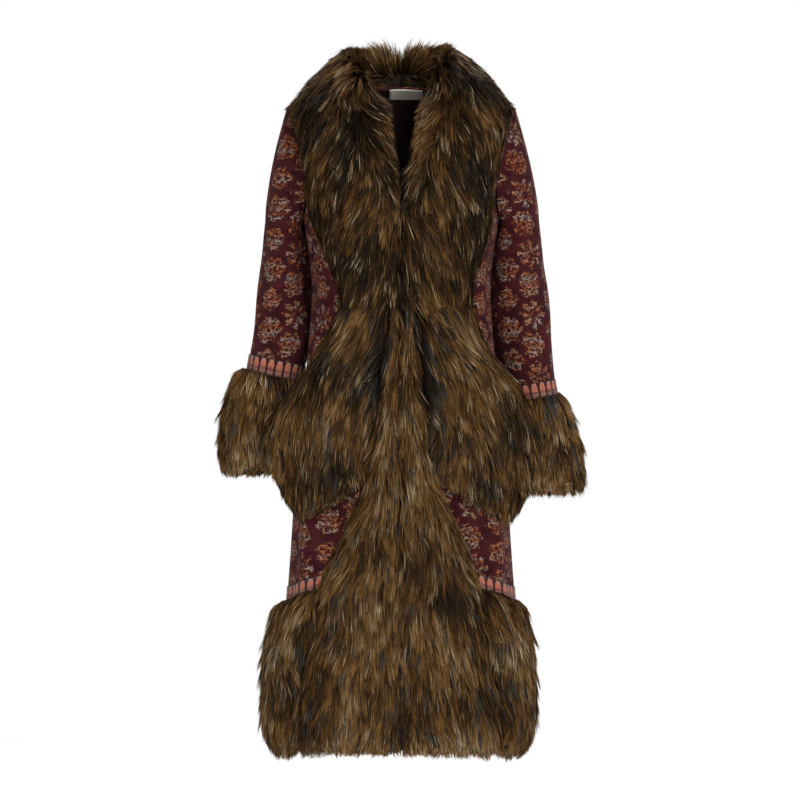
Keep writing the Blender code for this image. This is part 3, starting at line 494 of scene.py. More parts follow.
def block_trim():
    paint = Paint("block_border")
    u, v = paint.own_map("Cloth")
    along = u / BLOCK_WIDE
    block = math.floor(along)
    aside = along - block - 0.5
    stitch = v * TRIM_ROWS
    row = math.floor(stitch)
    top = v.ease(0.62, 1.0)
    inside = (abs(aside) + top * 0.16).ease(0.40, 0.34) * v.ease(0.05, 0.09) * v.ease(0.97, 0.93)
    body = paint.ramp(
        row / TRIM_ROWS + paint.spots(block, row) * 0.12,
        [
            (0.0, 122, 84, 76), (0.3, 148, 104, 92),
            (0.42, 104, 50, 42), (0.5, 172, 102, 82),
            (0.82, 180, 108, 84), (0.95, 158, 132, 120),
        ],
    )
    trim = paint.mix(inside, srgb(52, 17, 22), body)
    loop = 1 - abs(stitch - row - 0.5) * 2
    side = along * RIBS
    rib = 1 - abs(side - math.floor(side) - 0.5) * 2
    # painted shade in the dips between the loops and ribs, and painted light on their crests
    shade = paint.mix((loop * rib).ease(0.0, 0.3), (0.6, 0.58, 0.58), (1.06, 1.06, 1.06))
    trim = paint.mix(1.0, trim, shade, "MULTIPLY")
    return paint.finish({
        "Base Color": trim,
        "Roughness": 0.86,
        "Sheen Weight": 0.15,
        "Sheen Roughness": 0.5,
        "Specular IOR Level": 0.2,
        "Normal": paint.bump(loop * rib + inside * 0.6, 0.6, 0.9 * MM),
    })


trim_wool = block_trim()


def trim_piece(node, about, folds, seam=None):
    """A border on its solid's form, creased with the cloth and mapped along its lower edge."""
    piece = laid_on(node, "_knit", 2)
    points = seamed(points_of(piece)) if node.startswith("hem") else points_of(piece)
    out, round_it = about(points)
    crease(piece, points, out, round_it, folds)
    # the lower and upper edge, found in steps round the border
    step = 6 * MM
    place = np.round((round_it - round_it.min()) / step).astype(int)
    low = np.full(place.max() + 1, np.inf)
    high = np.full(place.max() + 1, -np.inf)
    np.minimum.at(low, place, points[:, 2])
    np.maximum.at(high, place, points[:, 2])
    known = np.isfinite(low)
    at = np.arange(len(low))[known] * step + round_it.min()
    low = np.interp(round_it, at, low[known])
    high = np.interp(round_it, at, high[known])
    up = np.clip((points[:, 2] - low) / np.maximum(high - low, 1e-4), 0, 1)
    map_cloth(piece, round_it, up, seam)
    stand_in(piece, node, trim_wool)
    return piece


borders = {
    name: trim_piece("hem_border_" + name, about_body, folds)
    for name, folds in (("right", FRONT_FOLDS), ("left", FRONT_FOLDS), ("back", BACK_FOLDS))
}
for side in ("right", "left"):
    borders["cuff_" + side] = trim_piece(
        "cuff_border_" + side,
        lambda points: about_arm(points, side),
        SLEEVE_FOLDS[side],
        2 * math.pi * ARM_ROUND,
    )

# Lining: dark wine satin over the inside of the upper back, the only lining that shows.


def satin():
    paint = Paint("lining_satin")
    place = paint.place()
    slack = paint.cloud(place, 24.0, 3.0)
    twill = paint.node(
        "ShaderNodeTexWave",
        {"wave_type": "BANDS", "bands_direction": "DIAGONAL"},
        {"Vector": place, "Scale": 700.0, "Distortion": 0.4},
    )
    # the wine is darker where the slack dips: painted shade in the satin's soft wrinkles
    colour = paint.mix(slack.ease(0.3, 0.7), (0.014, 0.004, 0.006), (0.026, 0.007, 0.011))
    return paint.finish({
        "Base Color": colour,
        "Roughness": slack * 0.15 + 0.5,
        "Specular IOR Level": 0.15,
        "Normal": paint.bump(slack + twill * 0.12, 0.3, 1.2 * MM),
    })


lining = laid_on("lining_back", "_satin", 2)
points = points_of(lining)
crease(lining, points, *about_body(points), BACK_FOLDS)
stand_in(lining, "lining_back", satin())

# Neck label: a bare off-white woven tab with folded ends, sewn to the lining at the nape.


def woven():
    paint = Paint("woven_tape")
    place = paint.place()
    x, z = (paint.node("ShaderNodeSeparateXYZ", None, {0: place}, k) for k in (0, 2))
    weft = (z * 2 * math.pi / (1.1 * MM)).sum("SINE")
    warp = (x * 2 * math.pi / (0.9 * MM)).sum("SINE")
    colour = paint.mix(paint.cloud(place, 12.0), srgb(240, 234, 220), srgb(248, 243, 232))
    return paint.finish({
        "Base Color": colour,
        "Roughness": 0.62,
        "Specular IOR Level": 0.3,
        "Normal": paint.bump(weft * warp * 0.5 + weft * 0.3, 0.4, 0.3 * MM),
    })


label = laid_on("neck_label", "_tape", 2)
stand_in(label, "neck_label", woven())

# Fur: long brown pile, dark at the root, golden to olive along the hair and pale or orange
# at the tip. Each piece is a backing with dense underwool, and long hair that is combed
# away from the neck, out over the hips and down to the hem, and lies in pointed locks.

FUR_CUTS = {
    # width and length of the cut, its flat area, and the cloth that it is sewn on
    "collar_right": ((0.26, 0.62), 0.118, "front_right"),
    "collar_left": ((0.26, 0.62), 0.121, "front_left"),
    "front_band_right": ((0.20, 0.80), 0.100, "front_right"),
    "front_band_left": ((0.20, 0.80), 0.095, "front_left"),
    "hip_fur_right": ((0.22, 0.39), 0.059, "front_right"),
    "hip_fur_left": ((0.22, 0.39), 0.063, "front_left"),
    "hem_fur_right": ((0.155, 0.28), 0.035, "front_right"),
    "hem_fur_left": ((0.155, 0.28), 0.037, "front_left"),
    "hem_fur_back": ((0.62, 0.27), 0.158, "back_panel"),
    "cuff_fur_right": ((0.42, 0.175), 0.056, "sleeve_right"),
    "cuff_fur_left": ((0.42, 0.165), 0.052, "sleeve_left"),
}
TOUCHING, NEARBY = 4 * MM, 12 * MM


def corners_of(piece):
    """The three points of each triangle of a piece, as indices."""
    piece.data.calc_loop_triangles()
    return read(piece.data.loop_triangles, "vertices", np.int32, 3).reshape(-1, 3)


def ease(values, start, end):
    """Nought up to start, one from end on, and smooth between, as a column."""
    t = np.clip((values - start) / (end - start), 0, 1)
    return np.reshape(t * t * (3 - 2 * t), (-1, 1))


def point_normals(points, corners):
    """Each point's normal, from the triangles round it."""
    a, b, c = (points[corners[:, k]] for k in range(3))
    faces = np.cross(b - a, c - a)
    normals = np.zeros_like(points)
    for k in range(3):
        np.add.at(normals, corners[:, k], faces)
    return unit(normals)


def hunting(points, corners):
    """A tree that finds the nearest place of a surface."""
    return BVHTree.FromPolygons(points.tolist(), corners.tolist())


cloth_trees = [
    hunting(points_of(piece), corners_of(piece))
    for piece in [back, *fronts.values(), *sleeves.values(), *borders.values()]
]
pelts = {}
for node in FUR_CUTS:
    piece = laid_on(node, "_pelt", 1)
    points, corners = points_of(piece), corners_of(piece)
    pelts[node] = {
        "piece": piece, "points": points, "corners": corners,
        "tree": hunting(points, corners), "normals": point_normals(points, corners),
    }


def covered(middle, normal, trees):
    """True where another piece lies against this place."""
    for tree in trees:
        spot, facing, _, far = tree.find_nearest(middle, NEARBY)
        if spot is None:
            continue
        gap = (middle - np.array(spot)) @ np.array(facing)
        if gap < -0.8 * far or (far < TOUCHING and normal @ np.array(facing) < -0.25):
            return True
    return False


for node, pelt in pelts.items():
    # a cuff lies beside the hip and isn't sewn to it
    cuff = node.startswith("cuff")
    others = cloth_trees if node[:3] != "hip" else cloth_trees[:3]
    others = others + [
        p["tree"] for n, p in pelts.items() if n != node and n.startswith("cuff") == cuff
    ]
    a, b, c = (pelt["points"][pelt["corners"][:, k]] for k in range(3))
    faces = unit(np.cross(b - a, c - a))
    pelt["hidden"] = np.array([
        covered(middle, facing, others) for middle, facing in zip((a + b + c) / 3, faces)
    ])
    pelt["area"] = np.linalg.norm(np.cross(b - a, c - a), axis=1) / 2

TURNS = 9
FAR_OFF = 30 * MM


def rounded(pelt, others):
    """Rounds the edges that show, and leaves those by a neighbour's fur where they are."""
    edges = np.array([edge.vertices[:] for edge in pelt["piece"].data.edges])
    points = pelt["points"].copy()
    gaps = [
        [tree.find_nearest(point, FAR_OFF)[3] or FAR_OFF for tree in others] for point in points
    ]
    free = ease(np.array(gaps).min(1), 5 * MM, 24 * MM)
    count = np.bincount(edges.ravel(), minlength=len(points))[:, None]
    # each smoothing turn is followed by one that gives the broad shape its size back
    for _ in range(TURNS):
        for part in (0.6, -0.56):
            total = np.zeros_like(points)
            np.add.at(total, edges[:, 0], points[edges[:, 1]])
            np.add.at(total, edges[:, 1], points[edges[:, 0]])
            points += part * free * (total / count - points)
    pelt["points"] = points
    pelt["normals"] = point_normals(points, pelt["corners"])
    pelt["tree"] = hunting(points, pelt["corners"])


first_trees = {node: pelt["tree"] for node, pelt in pelts.items()}
for node, pelt in pelts.items():
    rounded(pelt, [tree for name, tree in first_trees.items() if name != node])


def shown_skin(nodes):
    """What shows of these pieces of fur, which the tips of their hair are kept near."""
    points, corners, start = [], [], 0
    for node in nodes:
        pelt = pelts[node]
        points.append(pelt["points"])
        corners.append(pelt["corners"][~pelt["hidden"]] + start)
        start += len(pelt["points"])
    return hunting(np.concatenate(points), np.concatenate(corners))


# the cuffs hang free of the rest
skin_trees = {
    cuff: shown_skin([node for node in pelts if node.startswith("cuff") == cuff])
    for cuff in (True, False)
}
DEEPEST = 27 * MM


def pulled_in(pelt):
    """The points of the underwool: the skin stays, and the hair side sinks below the hair."""
    seated = np.zeros(len(pelt["points"]), bool)
    seated[pelt["corners"][pelt["hidden"]].ravel()] = True
    shift = np.zeros_like(pelt["points"])
    sewn = point_normals(pelt["points"], pelt["corners"][pelt["hidden"]])
    sinking = KDTree(int((~seated).sum()))
    for k in np.flatnonzero(~seated):
        point, normal = pelt["points"][k], pelt["normals"][k]
        hit, facing, index, far = pelt["tree"].ray_cast(point - normal * 0.4 * MM, -normal, 0.08)
        if hit is None:
            sink = 20 * MM
        elif pelt["hidden"][index]:
            sink = min(far - min(0.42 * far, 13 * MM), DEEPEST)
        else:
            sink = min(0.28 * far, DEEPEST)
        # an upper edge keeps its height, so that the hair spills over it
        sink *= 1 - 0.8 * ease(normal[2], 0.3, 0.8).item() * (point[2] < -0.4)
        shift[k] = -normal * sink
        sinking.insert(point, k)
    sinking.balance()
    # a sewn side sinks with the edge of the hair side that it meets
    for k in np.flatnonzero(seated):
        spot, near, far = sinking.find(pelt["points"][k])
        depth = max(np.linalg.norm(shift[near]), 1e-6)
        below = (pelt["points"][k] - np.array(spot)) @ shift[near] / depth
        if far**2 - below**2 < FAR_OFF**2 and below > -TOUCHING:
            shift[k] = shift[near] * max(0.85 - max(below, 0) / depth, 0)
            shift[k] -= sewn[k] * (shift[k] @ sewn[k])
    return pelt["points"] + shift + sewn * (seated * MM)[:, None]


def fur_shader():
    paint = Paint("long_pile")
    tone, along = paint.own_map("Strand")
    # from blue-grey over dark and golden brown to pale
    middle = paint.ramp(tone, [
        (0.0, 37, 38, 37), (0.05, 27, 26, 25),
        (0.09, 13, 8, 4), (0.2, 24, 15, 7),
        (0.4, 48, 31, 14), (0.6, 69, 46, 20),
        (0.8, 63, 47, 28), (1.0, 84, 68, 46),
    ])
    tip = paint.ramp(tone, [
        (0.0, 76, 76, 72), (0.05, 48, 46, 43),
        (0.09, 20, 14, 8), (0.2, 36, 24, 12),
        (0.4, 75, 49, 21), (0.6, 129, 90, 44),
        (0.8, 148, 120, 82), (1.0, 206, 190, 162),
    ])
    colour = paint.mix(along.ease(0.1, 0.5), srgb(10, 7, 5), middle)
    colour = paint.mix(along.ease(0.45, 0.9), colour, tip)
    return paint.finish({
        "Base Color": colour,
        "Roughness": 0.55,
        "Specular IOR Level": 0.14,
        "Specular Tint": (1.0, 0.84, 0.64, 1.0),
    })


def wool_skin():
    paint = Paint("underwool")
    place = paint.place()
    stretch = paint.node(
        "ShaderNodeMapping", None, {"Vector": place, "Scale": (1.0, 1.0, 0.22)}
    )
    tuft = paint.cloud(stretch, 420.0, 5.0)
    # darker in the hollows between the tufts: painted shade
    colour = paint.mix(tuft.ease(0.35, 0.7), srgb(20, 13, 8), srgb(50, 34, 18))
    return paint.finish({
        "Base Color": colour,
        "Roughness": 0.8,
        "Specular IOR Level": 0.15,
        "Normal": paint.bump(tuft, 0.8, 3 * MM),
    })


pile_look = fur_shader()
skin_look = wool_skin()

DOWN = np.array([0.0, 0.0, -1.0])


def plan_out(points, middle):
    """The level way out from an upright line through middle."""
    return unit(points * (1, 1, 0) - np.array([*middle, 0]))


def waves(rng, points, size, count=7):
    """A smooth random number at each point, about nought, that changes over size metres."""
    total = np.zeros(len(points))
    for _ in range(count):
        way = rng.normal(0, 1, 3)
        way *= 2 * math.pi / size * rng.uniform(0.5, 1.3) / np.linalg.norm(way)
        total += np.sin(points @ way + rng.uniform(0, 6.3))
    return total / math.sqrt(count / 2)


def past_lapel(points):
    """How far a place on the collar lies outside the edge of the open neck, in metres."""
    edge = np.interp(points[:, 2], [-0.15, -0.135, -0.016, 0.067], [0.0, 0.003, 0.046, 0.098])
    return np.abs(points[:, 0]) - edge


def comb_collar(points, normals, side):
    """Up round the neck, over the top and down outside, with lapels that fall open."""
    away = plan_out(points, (0, 0.005))
    sideways = np.array([side, 0.0, 0.0])
    wobble = waves(np.random.default_rng(5), points, 0.022) * 0.16
    facing_in = ease(-(normals * away).sum(1) + wobble, -0.1, 0.45)
    top = ease(points[:, 2], -0.15, -0.03)
    behind = ease(points[:, 1] + wobble * 0.03, -0.05, 0.02)
    sweep = 4 * behind * (1 - behind)
    seam = ease(points[:, 2], 0.034, 0.016)
    fan = sideways * 0.7 * np.clip(np.abs(points[:, :1]) / 0.05, 0, 1)
    stand = away * 0.35 + fan + DOWN * (1.7 * seam - 1)
    fall = sideways * -0.8 + DOWN * 0.75
    high = ease(points[:, 2], -0.005, 0.03)
    fall = fall * (1 - high) + (away * 0.9 - DOWN * 0.5) * high
    inner = stand * behind + fall * (1 - behind) + np.array([0, -1.0, 0]) * sweep
    over = (away * 0.9 + DOWN * 0.4) * (1 - facing_in) + inner * facing_in
    inward = ease(-normals[:, 0] * side, 0.1, 0.7)
    chest = DOWN + sideways * (0.30 - 0.62 * inward)
    nape = DOWN * 0.9 + away * 0.25
    lower = chest * (1 - behind) + nape * behind
    way = lower * (1 - top) + over * top
    # the lapels fall in towards the open neck
    lapel = ease(past_lapel(points) + wobble * 0.04, 0.062, 0.022) * (1 - behind)
    lapel = lapel * ease(points[:, 2], 0.035, -0.015) * ease(points[:, 2], -0.2, -0.12)
    return way * (1 - lapel) + (sideways * -0.85 + DOWN * 0.6) * lapel


def comb_band(points, normals, side):
    spread = np.interp(points[:, 2], [-1.14, -0.9, -0.6, -0.37], [0.06, 0.2, 0.16, 0.05])
    spread = spread * np.clip(np.abs(points[:, 0]) / 0.07, 0.2, 1)
    return DOWN + np.array([side, 0, 0]) * spread[:, None]


def comb_hip(points, normals, side):
    spread = np.interp(
        points[:, 2], [-0.75, -0.6, -0.5, -0.42, -0.37], [0.05, 0.12, 0.35, 0.7, 0.9]
    )
    wing = 0.22 * ease(np.abs(points[:, 0]), 0.18, 0.24)
    return DOWN + np.array([side, 0, 0]) * (spread[:, None] + wing)


def comb_hem(points, normals, side):
    away = plan_out(points, (0, 0))
    spill = ease(normals[:, 2], 0.1, 0.7)
    return DOWN * (1 - 0.5 * spill) + away * (0.14 + 0.6 * spill)


def comb_cuff(points, normals, side):
    away, _ = about_arm(points, {-1: "right", 1: "left"}[side])
    spill = ease(normals[:, 2], 0.1, 0.7)
    out = np.interp(points[:, 2], [-0.68, -0.5], [0.04, 0.3])[:, None] + 0.6 * spill
    return DOWN * (1 - 0.5 * spill) + away * out


# Where the fur in front is darker or more golden, in millimetres across and up; the spot in the
# open neck is painted shade
SHADES = [
    # across, up, half width, half height, lean to the left in x per z, tone
    (-92, -95, 20, 110, 0.25, -0.22), (128, -130, 22, 110, -0.2, -0.22),
    (-52, -66, 32, 74, 0.1, 0.22), (54, -80, 24, 80, -0.1, 0.15),
    (-34, -500, 10, 100, 0.10, -0.20), (48, -540, 10, 110, -0.12, -0.22),
    (-185, -1000, 12, 70, 0.45, -0.24), (165, -1000, 12, 60, -0.35, -0.24),
    (-120, -1110, 90, 40, 0.0, 0.16), (130, -1110, 90, 40, 0.0, 0.2),
    (0, 60, 130, 50, 0.0, 0.25), (0, -200, 120, 90, 0.0, -0.06),
    (-115, -600, 50, 70, 0.0, -0.08), (-150, -1010, 40, 80, 0.0, -0.08),
    (-222, -950, 30, 50, 0.0, 0.16), (215, -940, 30, 60, 0.0, 0.18),
    (0, -1085, 28, 40, 0.0, -0.16), (-190, -545, 22, 60, 0.1, 0.12),
    # painted shade: very dark hair in the open neck, where the slot between the lapels lies in
    # shadow
    (8, -140, 9, 26, 0.0, -0.4),
    (-30, -420, 7, 60, 0.2, -0.3), (32, -420, 7, 60, -0.2, -0.3),
    (-135, -480, 12, 60, 0.35, -0.14), (190, -560, 14, 60, -0.2, -0.14),
]


def shade(points):
    """How much darker or more golden the fur lies there, with painted shade in the open neck."""
    total = np.zeros(len(points))
    for across, up, wide, high, lean, tone in SHADES:
        z = (points[:, 2] - up * MM) / (high * MM)
        x = (points[:, 0] - across * MM - lean * (points[:, 2] - up * MM)) / (wide * MM)
        seen = (points[:, 1] < 0) | (points[:, 2] > 0)
        total += tone * np.exp(-(x**2) - z**2) * seen
    return total


FURS = {
    # comb, length of the hair in mm, locks and hairs to a square decimetre, tone
    "collar": (comb_collar, 58, 150, 2400, 0.25),
    "front_band": (comb_band, 62, 140, 2400, 0.51),
    "hip_fur": (comb_hip, 62, 140, 2400, 0.39),
    "hem_fur": (comb_hem, 62, 90, 2200, 0.48),
    "cuff_fur": (comb_cuff, 52, 90, 2400, 0.52),
}
# How near the middle the hair of each lapel comes, and how high the collar's hair stands
LAPEL_EDGE = {
    -1: ([-156, -131, -73, -19, 15, 45], [3, 9, 13, 17, 20, 44]),
    1: ([-156, -131, -73, -19, 15, 45], [6, 18, 26, 31, 38, 56]),
}
CROWN = (
    [-230, -170, -152, -131, -112, -100, -82, -60, -47, -24, 0, 10, 24, 68, 100, 121, 152, 230],
    [-60, -2, 22, 52, 58, 63, 76, 88, 96, 94, 76, 90, 95, 87, 72, 54, 26, -60],
)
# Where the fur is cut off below: the way down and how far, in millimetres
TRIMS = {
    "hem_fur": (DOWN, 1169), "front_band": (DOWN, 1167),
    "cuff_fur_right": (DOWN, 679), "cuff_fur_left": (DOWN, 712),
    "hip_fur_right": (np.array([0.548, 0, -0.837]), 547),
    "hip_fur_left": (np.array([-0.548, 0, -0.837]), 541),
}


def trims_of(node):
    """The lines that a piece's hair is cut along: the way down and how far."""
    return [trim for name, trim in TRIMS.items() if node.startswith(name)]


def clipped(tip, top, way, limit):
    """The tips, none further along way than limit, as scissors leave them."""
    reach, start = tip @ way, top @ way
    share = (limit - start) / np.maximum(reach - start, 1e-6)
    share = np.where(reach > limit, np.clip(share, 0.2, 1), 1)
    return top + (tip - top) * share[:, None]


def scattered(rng, pelt, count):
    """Places on what shows of a pelt: triangle, and the three shares of its corners."""
    open_faces = np.flatnonzero(~pelt["hidden"])
    # few grow on an under side
    under_side = pelt["normals"][pelt["corners"][open_faces], 2].mean(1) < -0.6
    weight = pelt["area"][open_faces] * np.where(under_side, 0.15, 1)
    chosen = rng.choice(open_faces, count, p=weight / weight.sum())
    a, b = np.sqrt(rng.random(count)), rng.random(count)
    shares = np.stack([1 - a, a * (1 - b), a * b], 1)
    return chosen, shares


def at(values, pelt, chosen, shares):
    """The values of the points of a pelt, at places scattered on it."""
    return (values[pelt["corners"][chosen]] * shares[:, :, None]).sum(1)


# Seeds of the slow drifts that run through all the fur: three of its lie, one of its tone
swirl = np.random.default_rng(7)
DRIFTS = [swirl.integers(1000) for _ in range(4)]
# Shares of the locks that stand out, are bright or blue-grey, and of the hairs that stray or
# are broad
PROUD_LOCKS, BRIGHT_LOCKS, COOL_LOCKS = 0.14, 0.09, 0.13
STRAY_HAIRS, BROAD_HAIRS = 0.1, 0.3
BROAD, FINE = 2.1 * MM, 1.25 * MM
ROOTED, SCATTER, LABEL_ROOM = 1.5 * MM, 1.5 * MM, 6 * MM
SPILLING = ("hem_fur", "cuff_fur")


def locks_of(rng, kind, pelt, area, combed):
    """The locks that the hair of a piece gathers into: tips, tones, and how they end."""
    _, length, dense, _, tone = FURS[kind]
    chosen, shares = scattered(rng, pelt, int(area * dense))
    place = at(pelt["points"], pelt, chosen, shares)
    out = unit(at(pelt["normals"], pelt, chosen, shares))
    way = combed(place, out)
    way = unit(way + rng.normal(0, 0.10, way.shape))
    count = len(place)
    long = length * MM * rng.uniform(0.75, 1.2, count)
    drift = waves(np.random.default_rng(DRIFTS[3]), place, 0.09)
    tones = tone + shade(place) + rng.normal(0, 0.13, count) + 0.09 * drift
    tuft = rng.random(count) < PROUD_LOCKS
    proud = np.where(tuft, rng.uniform(1, 8, count), rng.uniform(-8, 0.5, count))
    past = rng.uniform(4, 15, count)
    cut = rng.uniform(-12, 4, count) + 5 * waves(rng, place, 0.035)
    near = KDTree(count)
    for k, spot in enumerate(place):
        near.insert(spot, k)
    near.balance()
    return {
        "place": place,
        "tip": place + way * long[:, None],
        "tone": tones,
        "proud": proud * MM,
        "past": past * MM,
        "cut": np.clip(cut, -22, 4) * MM,
        "near": near,
    }


def hues(rng, kind, locks, mine):
    """The tone of each hair: that of its lock, or pale, or blue-grey."""
    many, count = len(locks["tone"]), len(mine)
    bright = rng.random(many) < BRIGHT_LOCKS
    pale = rng.random(count) < np.where(bright[mine], 0.45, 0.02)
    light = rng.uniform(0.68, 0.95, count)
    hue = np.where(pale, light, locks["tone"][mine] + rng.normal(0, 0.1, count))
    hue = np.clip(hue, 0.09, 0.99)
    # away from the neck some locks are blue-grey, most of them where the fur is dark
    cool = rng.random(many) < COOL_LOCKS + 1.6 * np.clip(-shade(locks["place"]), 0, 0.25)
    cool = cool[mine] & ~pale & (rng.random(count) < 0.7) & (kind != "collar")
    return np.where(cool, rng.uniform(0.004, 0.05, count), hue)


# Corners of a blade: a four-sided face up to its middle and a long point
BLADE = np.array([0, 1, 2, 3, 3, 2, 4])


def blades(name, root, middle, tip, aside):
    """A mesh of tapering blades."""
    points = np.stack([
        root - aside * 0.8, root + aside * 0.8, middle + aside, middle - aside, tip
    ], 1)
    each = np.arange(len(root))[:, None]
    loops = (BLADE + 5 * each).ravel()
    starts = (np.array([0, 4]) + 7 * each).ravel()
    mesh = bpy.data.meshes.new(name)
    mesh.vertices.add(len(root) * 5)
    mesh.vertices.foreach_set("co", points.astype(np.float32).ravel())
    mesh.loops.add(len(loops))
    mesh.loops.foreach_set("vertex_index", loops.astype(np.int32))
    mesh.polygons.add(len(starts))
    mesh.polygons.foreach_set("loop_start", starts.astype(np.int32))
    mesh.update(calc_edges=True)
    mesh.shade_smooth()
    return mesh


def hair(node, pelt, under, seed):
    """The long hair of one piece, as tapering blades of three triangles each."""
    kind = next(k for k in FURS if node.startswith(k))
    comb, length, _, dense, _ = FURS[kind]
    side = -1 if node.endswith("right") else 1
    rng = np.random.default_rng(seed)
    area = pelt["area"][~pelt["hidden"]].sum() * 100

    def combed(points, normals):
        way = unit(comb(points, normals, side))
        for axis in range(3):
            way[:, axis] += 0.13 * waves(np.random.default_rng(DRIFTS[axis]), points, 0.11)
        return unit(way - normals * (way * normals).sum(1)[:, None] * 0.78)

    locks = locks_of(rng, kind, pelt, area, combed)
    count = int(area * dense)
    chosen, shares = scattered(rng, pelt, count)
    top = at(pelt["points"], pelt, chosen, shares)
    out = unit(at(pelt["normals"], pelt, chosen, shares))
    root = at(under, pelt, chosen, shares) - out * ROOTED
    if kind in SPILLING:
        root -= DOWN * 5 * MM * ease(out[:, 2], 0.1, 0.6)
    way = combed(top, out)
    beside = top + rng.normal(0, SCATTER, top.shape)
    mine = np.array([locks["near"].find(place)[1] for place in beside])
    for trim, limit in trims_of(node):
        keep = top @ trim < limit * MM + locks["cut"][mine] - 4 * MM
        top, out, root, way, mine = (values[keep] for values in (top, out, root, way, mine))
        count = len(mine)

    # each hair leans to the tip of its lock, and a few stray
    long = length * MM * rng.uniform(0.6, 1.15, count)
    free = top + unit(way + rng.normal(0, 0.09, way.shape)) * long[:, None]
    stray = rng.random(count) < STRAY_HAIRS
    pull = np.where(stray, 0.15, rng.uniform(0.4, 0.8, count))[:, None]
    lock_tip = locks["tip"][mine]
    tip = free * (1 - pull) + (lock_tip + rng.normal(0, SCATTER, free.shape)) * pull
    # its tip is kept near the skin of the fur
    found = [skin_trees[kind == "cuff_fur"].find_nearest(place) for place in tip]
    spot = np.array([f[0] for f in found])
    facing = np.array([f[1] for f in found])
    proud = locks["proud"][mine] + rng.normal(0, 1.2 * MM, count)
    proud = np.where(stray, rng.uniform(-1, 2.5, count) * MM, proud)
    beyond = ((tip - spot) * facing).sum(1)
    hold = np.where(beyond > 0, 0.8, 0.5)
    if kind == "collar":
        lapel = (past_lapel(top) < 0.03) & (top[:, 1] < 0.0) & (np.abs(top[:, 2] + 0.055) < 0.11)
        nape = (top[:, 2] > 0.02) & (np.abs(top[:, 0]) < 0.08) & (top[:, 1] > 0)
        hold = np.where(lapel | nape, 0.2, hold)
    tip += facing * (proud - beyond * hold)[:, None]
    # what would hang past the edge of all the fur is cut shorter
    past = tip - spot
    far = np.linalg.norm(past, axis=1)
    most = locks["past"][mine] * rng.uniform(0.7, 1.1, count)
    if kind == "collar":
        most = np.where(nape, most + 20 * MM, np.where(lapel, most + 26 * MM, most))
    tip = spot + past * np.clip(most / np.maximum(far, 1e-6), -1, 1)[:, None]
    # the middle of a lock reaches furthest, so that it ends in a point
    outside = free - lock_tip
    outside -= way * (outside * way).sum(1)[:, None]
    outside = np.minimum(1.5 * np.linalg.norm(outside, axis=1), 20 * MM) - 7 * MM
    ragged = locks["cut"][mine] + rng.normal(0, SCATTER, count) - np.where(stray, 0, outside)
    for trim, limit in trims_of(node):
        tip = clipped(tip, top, trim, limit * MM + ragged)
    if kind == "collar":
        tip = clipped(tip, top, -DOWN, np.interp(tip[:, 0] / MM, *CROWN) * MM + ragged)
        edge = np.interp(tip[:, 2] / MM, *LAPEL_EDGE[side]) * MM
        edge += np.abs(ragged) * 0.7 - 3 * MM + np.where(stray, -4, 0) * MM
        inside = (tip[:, 1] < 0.02) & (tip[:, 2] < 0.045) & (tip[:, 0] * side < edge)
        tip[:, 0] = np.where(inside, side * edge, tip[:, 0])
    bow = np.clip(((tip - top) * way).sum(1) * 0.45, 0, long * 0.3)
    bend = top + way * bow[:, None] + out * rng.uniform(-5, 0.5, count)[:, None] * MM
    middle = root * 0.16 + bend * 0.6 + tip * 0.24
    if kind == "collar":
        # none comes through the bare label
        tape = points_of(label)
        low, high = tape.min(0) - LABEL_ROOM, tape.max(0) + LABEL_ROOM
        keep = np.ones(count, bool)
        for share in np.linspace(0, 1, 6):
            place = middle + (tip - middle) * share
            keep &= ~((place > low) & (place < high)).all(1)
        root, middle, tip, out, mine = (values[keep] for values in (root, middle, tip, out, mine))
        count = len(mine)

    width = np.where(rng.random(count) < BROAD_HAIRS, BROAD, FINE) * rng.uniform(0.75, 1.2, count)
    aside = unit(np.cross(tip - root, out))
    aside = unit(aside + out * rng.uniform(-0.9, 0.9, count)[:, None]) * width[:, None] / 2
    mesh = blades(node + "_hair", root, middle, tip, aside)
    hue = hues(rng, kind, locks, mine)
    across = np.array([-1, 1, 1, -1, 0])[BLADE] * 0.003
    along = np.array([0.02, 0.02, 0.5, 0.5, 0.98])[BLADE]
    # hair on an up-facing edge of the hem and cuffs is painted lighter down to its root: painted
    # light on the top of the fur where it spills over the edge
    rise = 0.45 * ease(out[:, 2], 0.2, 0.7) * (kind in SPILLING)
    along = along + rise * (1 - along)
    places = np.stack([hue[:, None] + across, along], 2)
    for name in ("Strand", "OFBake"):
        layer = mesh.uv_layers.new(name=name)
        layer.uv.foreach_set("vector", places.astype(np.float32).ravel())
    piece = in_scene(node + "_hair", mesh)
    piece.data.materials.append(pile_look)
    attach(piece, "root")
    return piece


for seed, (node, pelt) in enumerate(pelts.items()):
    under = pulled_in(pelt)
    # the backing ends short of where the hair is cut
    for trim, limit in trims_of(node):
        over = under @ trim - (limit - 17) * MM
        under -= trim * np.maximum(over, 0)[:, None]
    place_points(pelt["piece"], under)
    hair(node, pelt, under, seed)
    stand_in(pelt["piece"], node, skin_look)

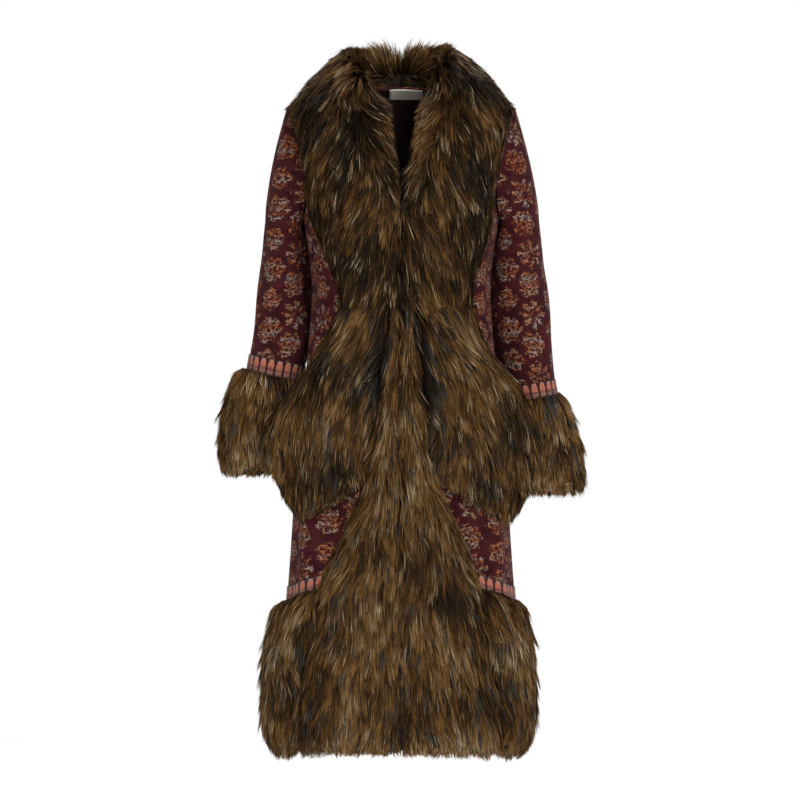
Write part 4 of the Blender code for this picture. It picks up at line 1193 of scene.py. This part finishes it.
# Studio: a wide pale floor, white surroundings, three soft lights, and the camera level
# with the middle of the coat.

FLOOR_Z = -1.32
PALE = (0.9, 0.9, 0.9, 1)
WHITE = (1, 1, 1, 1)
bpy.ops.object.select_all(action="DESELECT")
bpy.ops.mesh.primitive_plane_add(size=6, location=(0, 0, FLOOR_Z))
floor = bpy.context.object
floor.name = "studio_floor"
paint = Paint("studio_paper")
floor.data.materials.append(paint.finish({
    "Base Color": PALE, "Roughness": 0.9, "Emission Color": WHITE, "Emission Strength": 0.5,
}))

world = bpy.data.worlds.new("studio")
bpy.context.scene.world = world
world.use_nodes = True
air = world.node_tree.nodes
# the surroundings light the coat less than they show
path = air.new("ShaderNodeLightPath")
glow = air.new("ShaderNodeMapRange")
glow.inputs["To Min"].default_value = 0.34
glow.inputs["To Max"].default_value = 1.0
world.node_tree.links.new(path.outputs["Is Camera Ray"], glow.inputs["Value"])
world.node_tree.links.new(glow.outputs[0], air["Background"].inputs["Strength"])
air["Background"].inputs["Color"].default_value = WHITE
bpy.context.scene.view_settings.view_transform = "Standard"


def soft_light(name, place, size, power):
    """A square area light that faces the middle of the coat."""
    lamp = bpy.data.lights.new(name, "AREA")
    lamp.size, lamp.energy = size, power
    holder = in_scene(name, lamp)
    holder.location = place
    to = np.array([0, 0, -0.5]) - np.array(place)
    holder.rotation_euler = Vector(to).to_track_quat("-Z", "Y").to_euler()


soft_light("key", (1.5, -3.0, 1.9), 1.2, 106)
soft_light("fill", (-2.2, -2.6, 0.2), 1.6, 22)
soft_light("top", (0.0, 0.8, 2.2), 1.2, 35)

# The picture is 800 pixels wide, and its middle lies 312 below the neck and 1 beside it
PIXEL = 1.75 * MM
DISTANCE = 10.0
lens = bpy.data.cameras.new("camera")
lens.sensor_width = 36
lens.lens = lens.sensor_width * DISTANCE / (800 * PIXEL)
camera = in_scene("camera", lens)
camera.location = (-PIXEL, -DISTANCE, -312 * PIXEL)
camera.rotation_euler = (math.pi / 2, 0, 0)
lens.clip_end = 60
bpy.context.scene.camera = camera
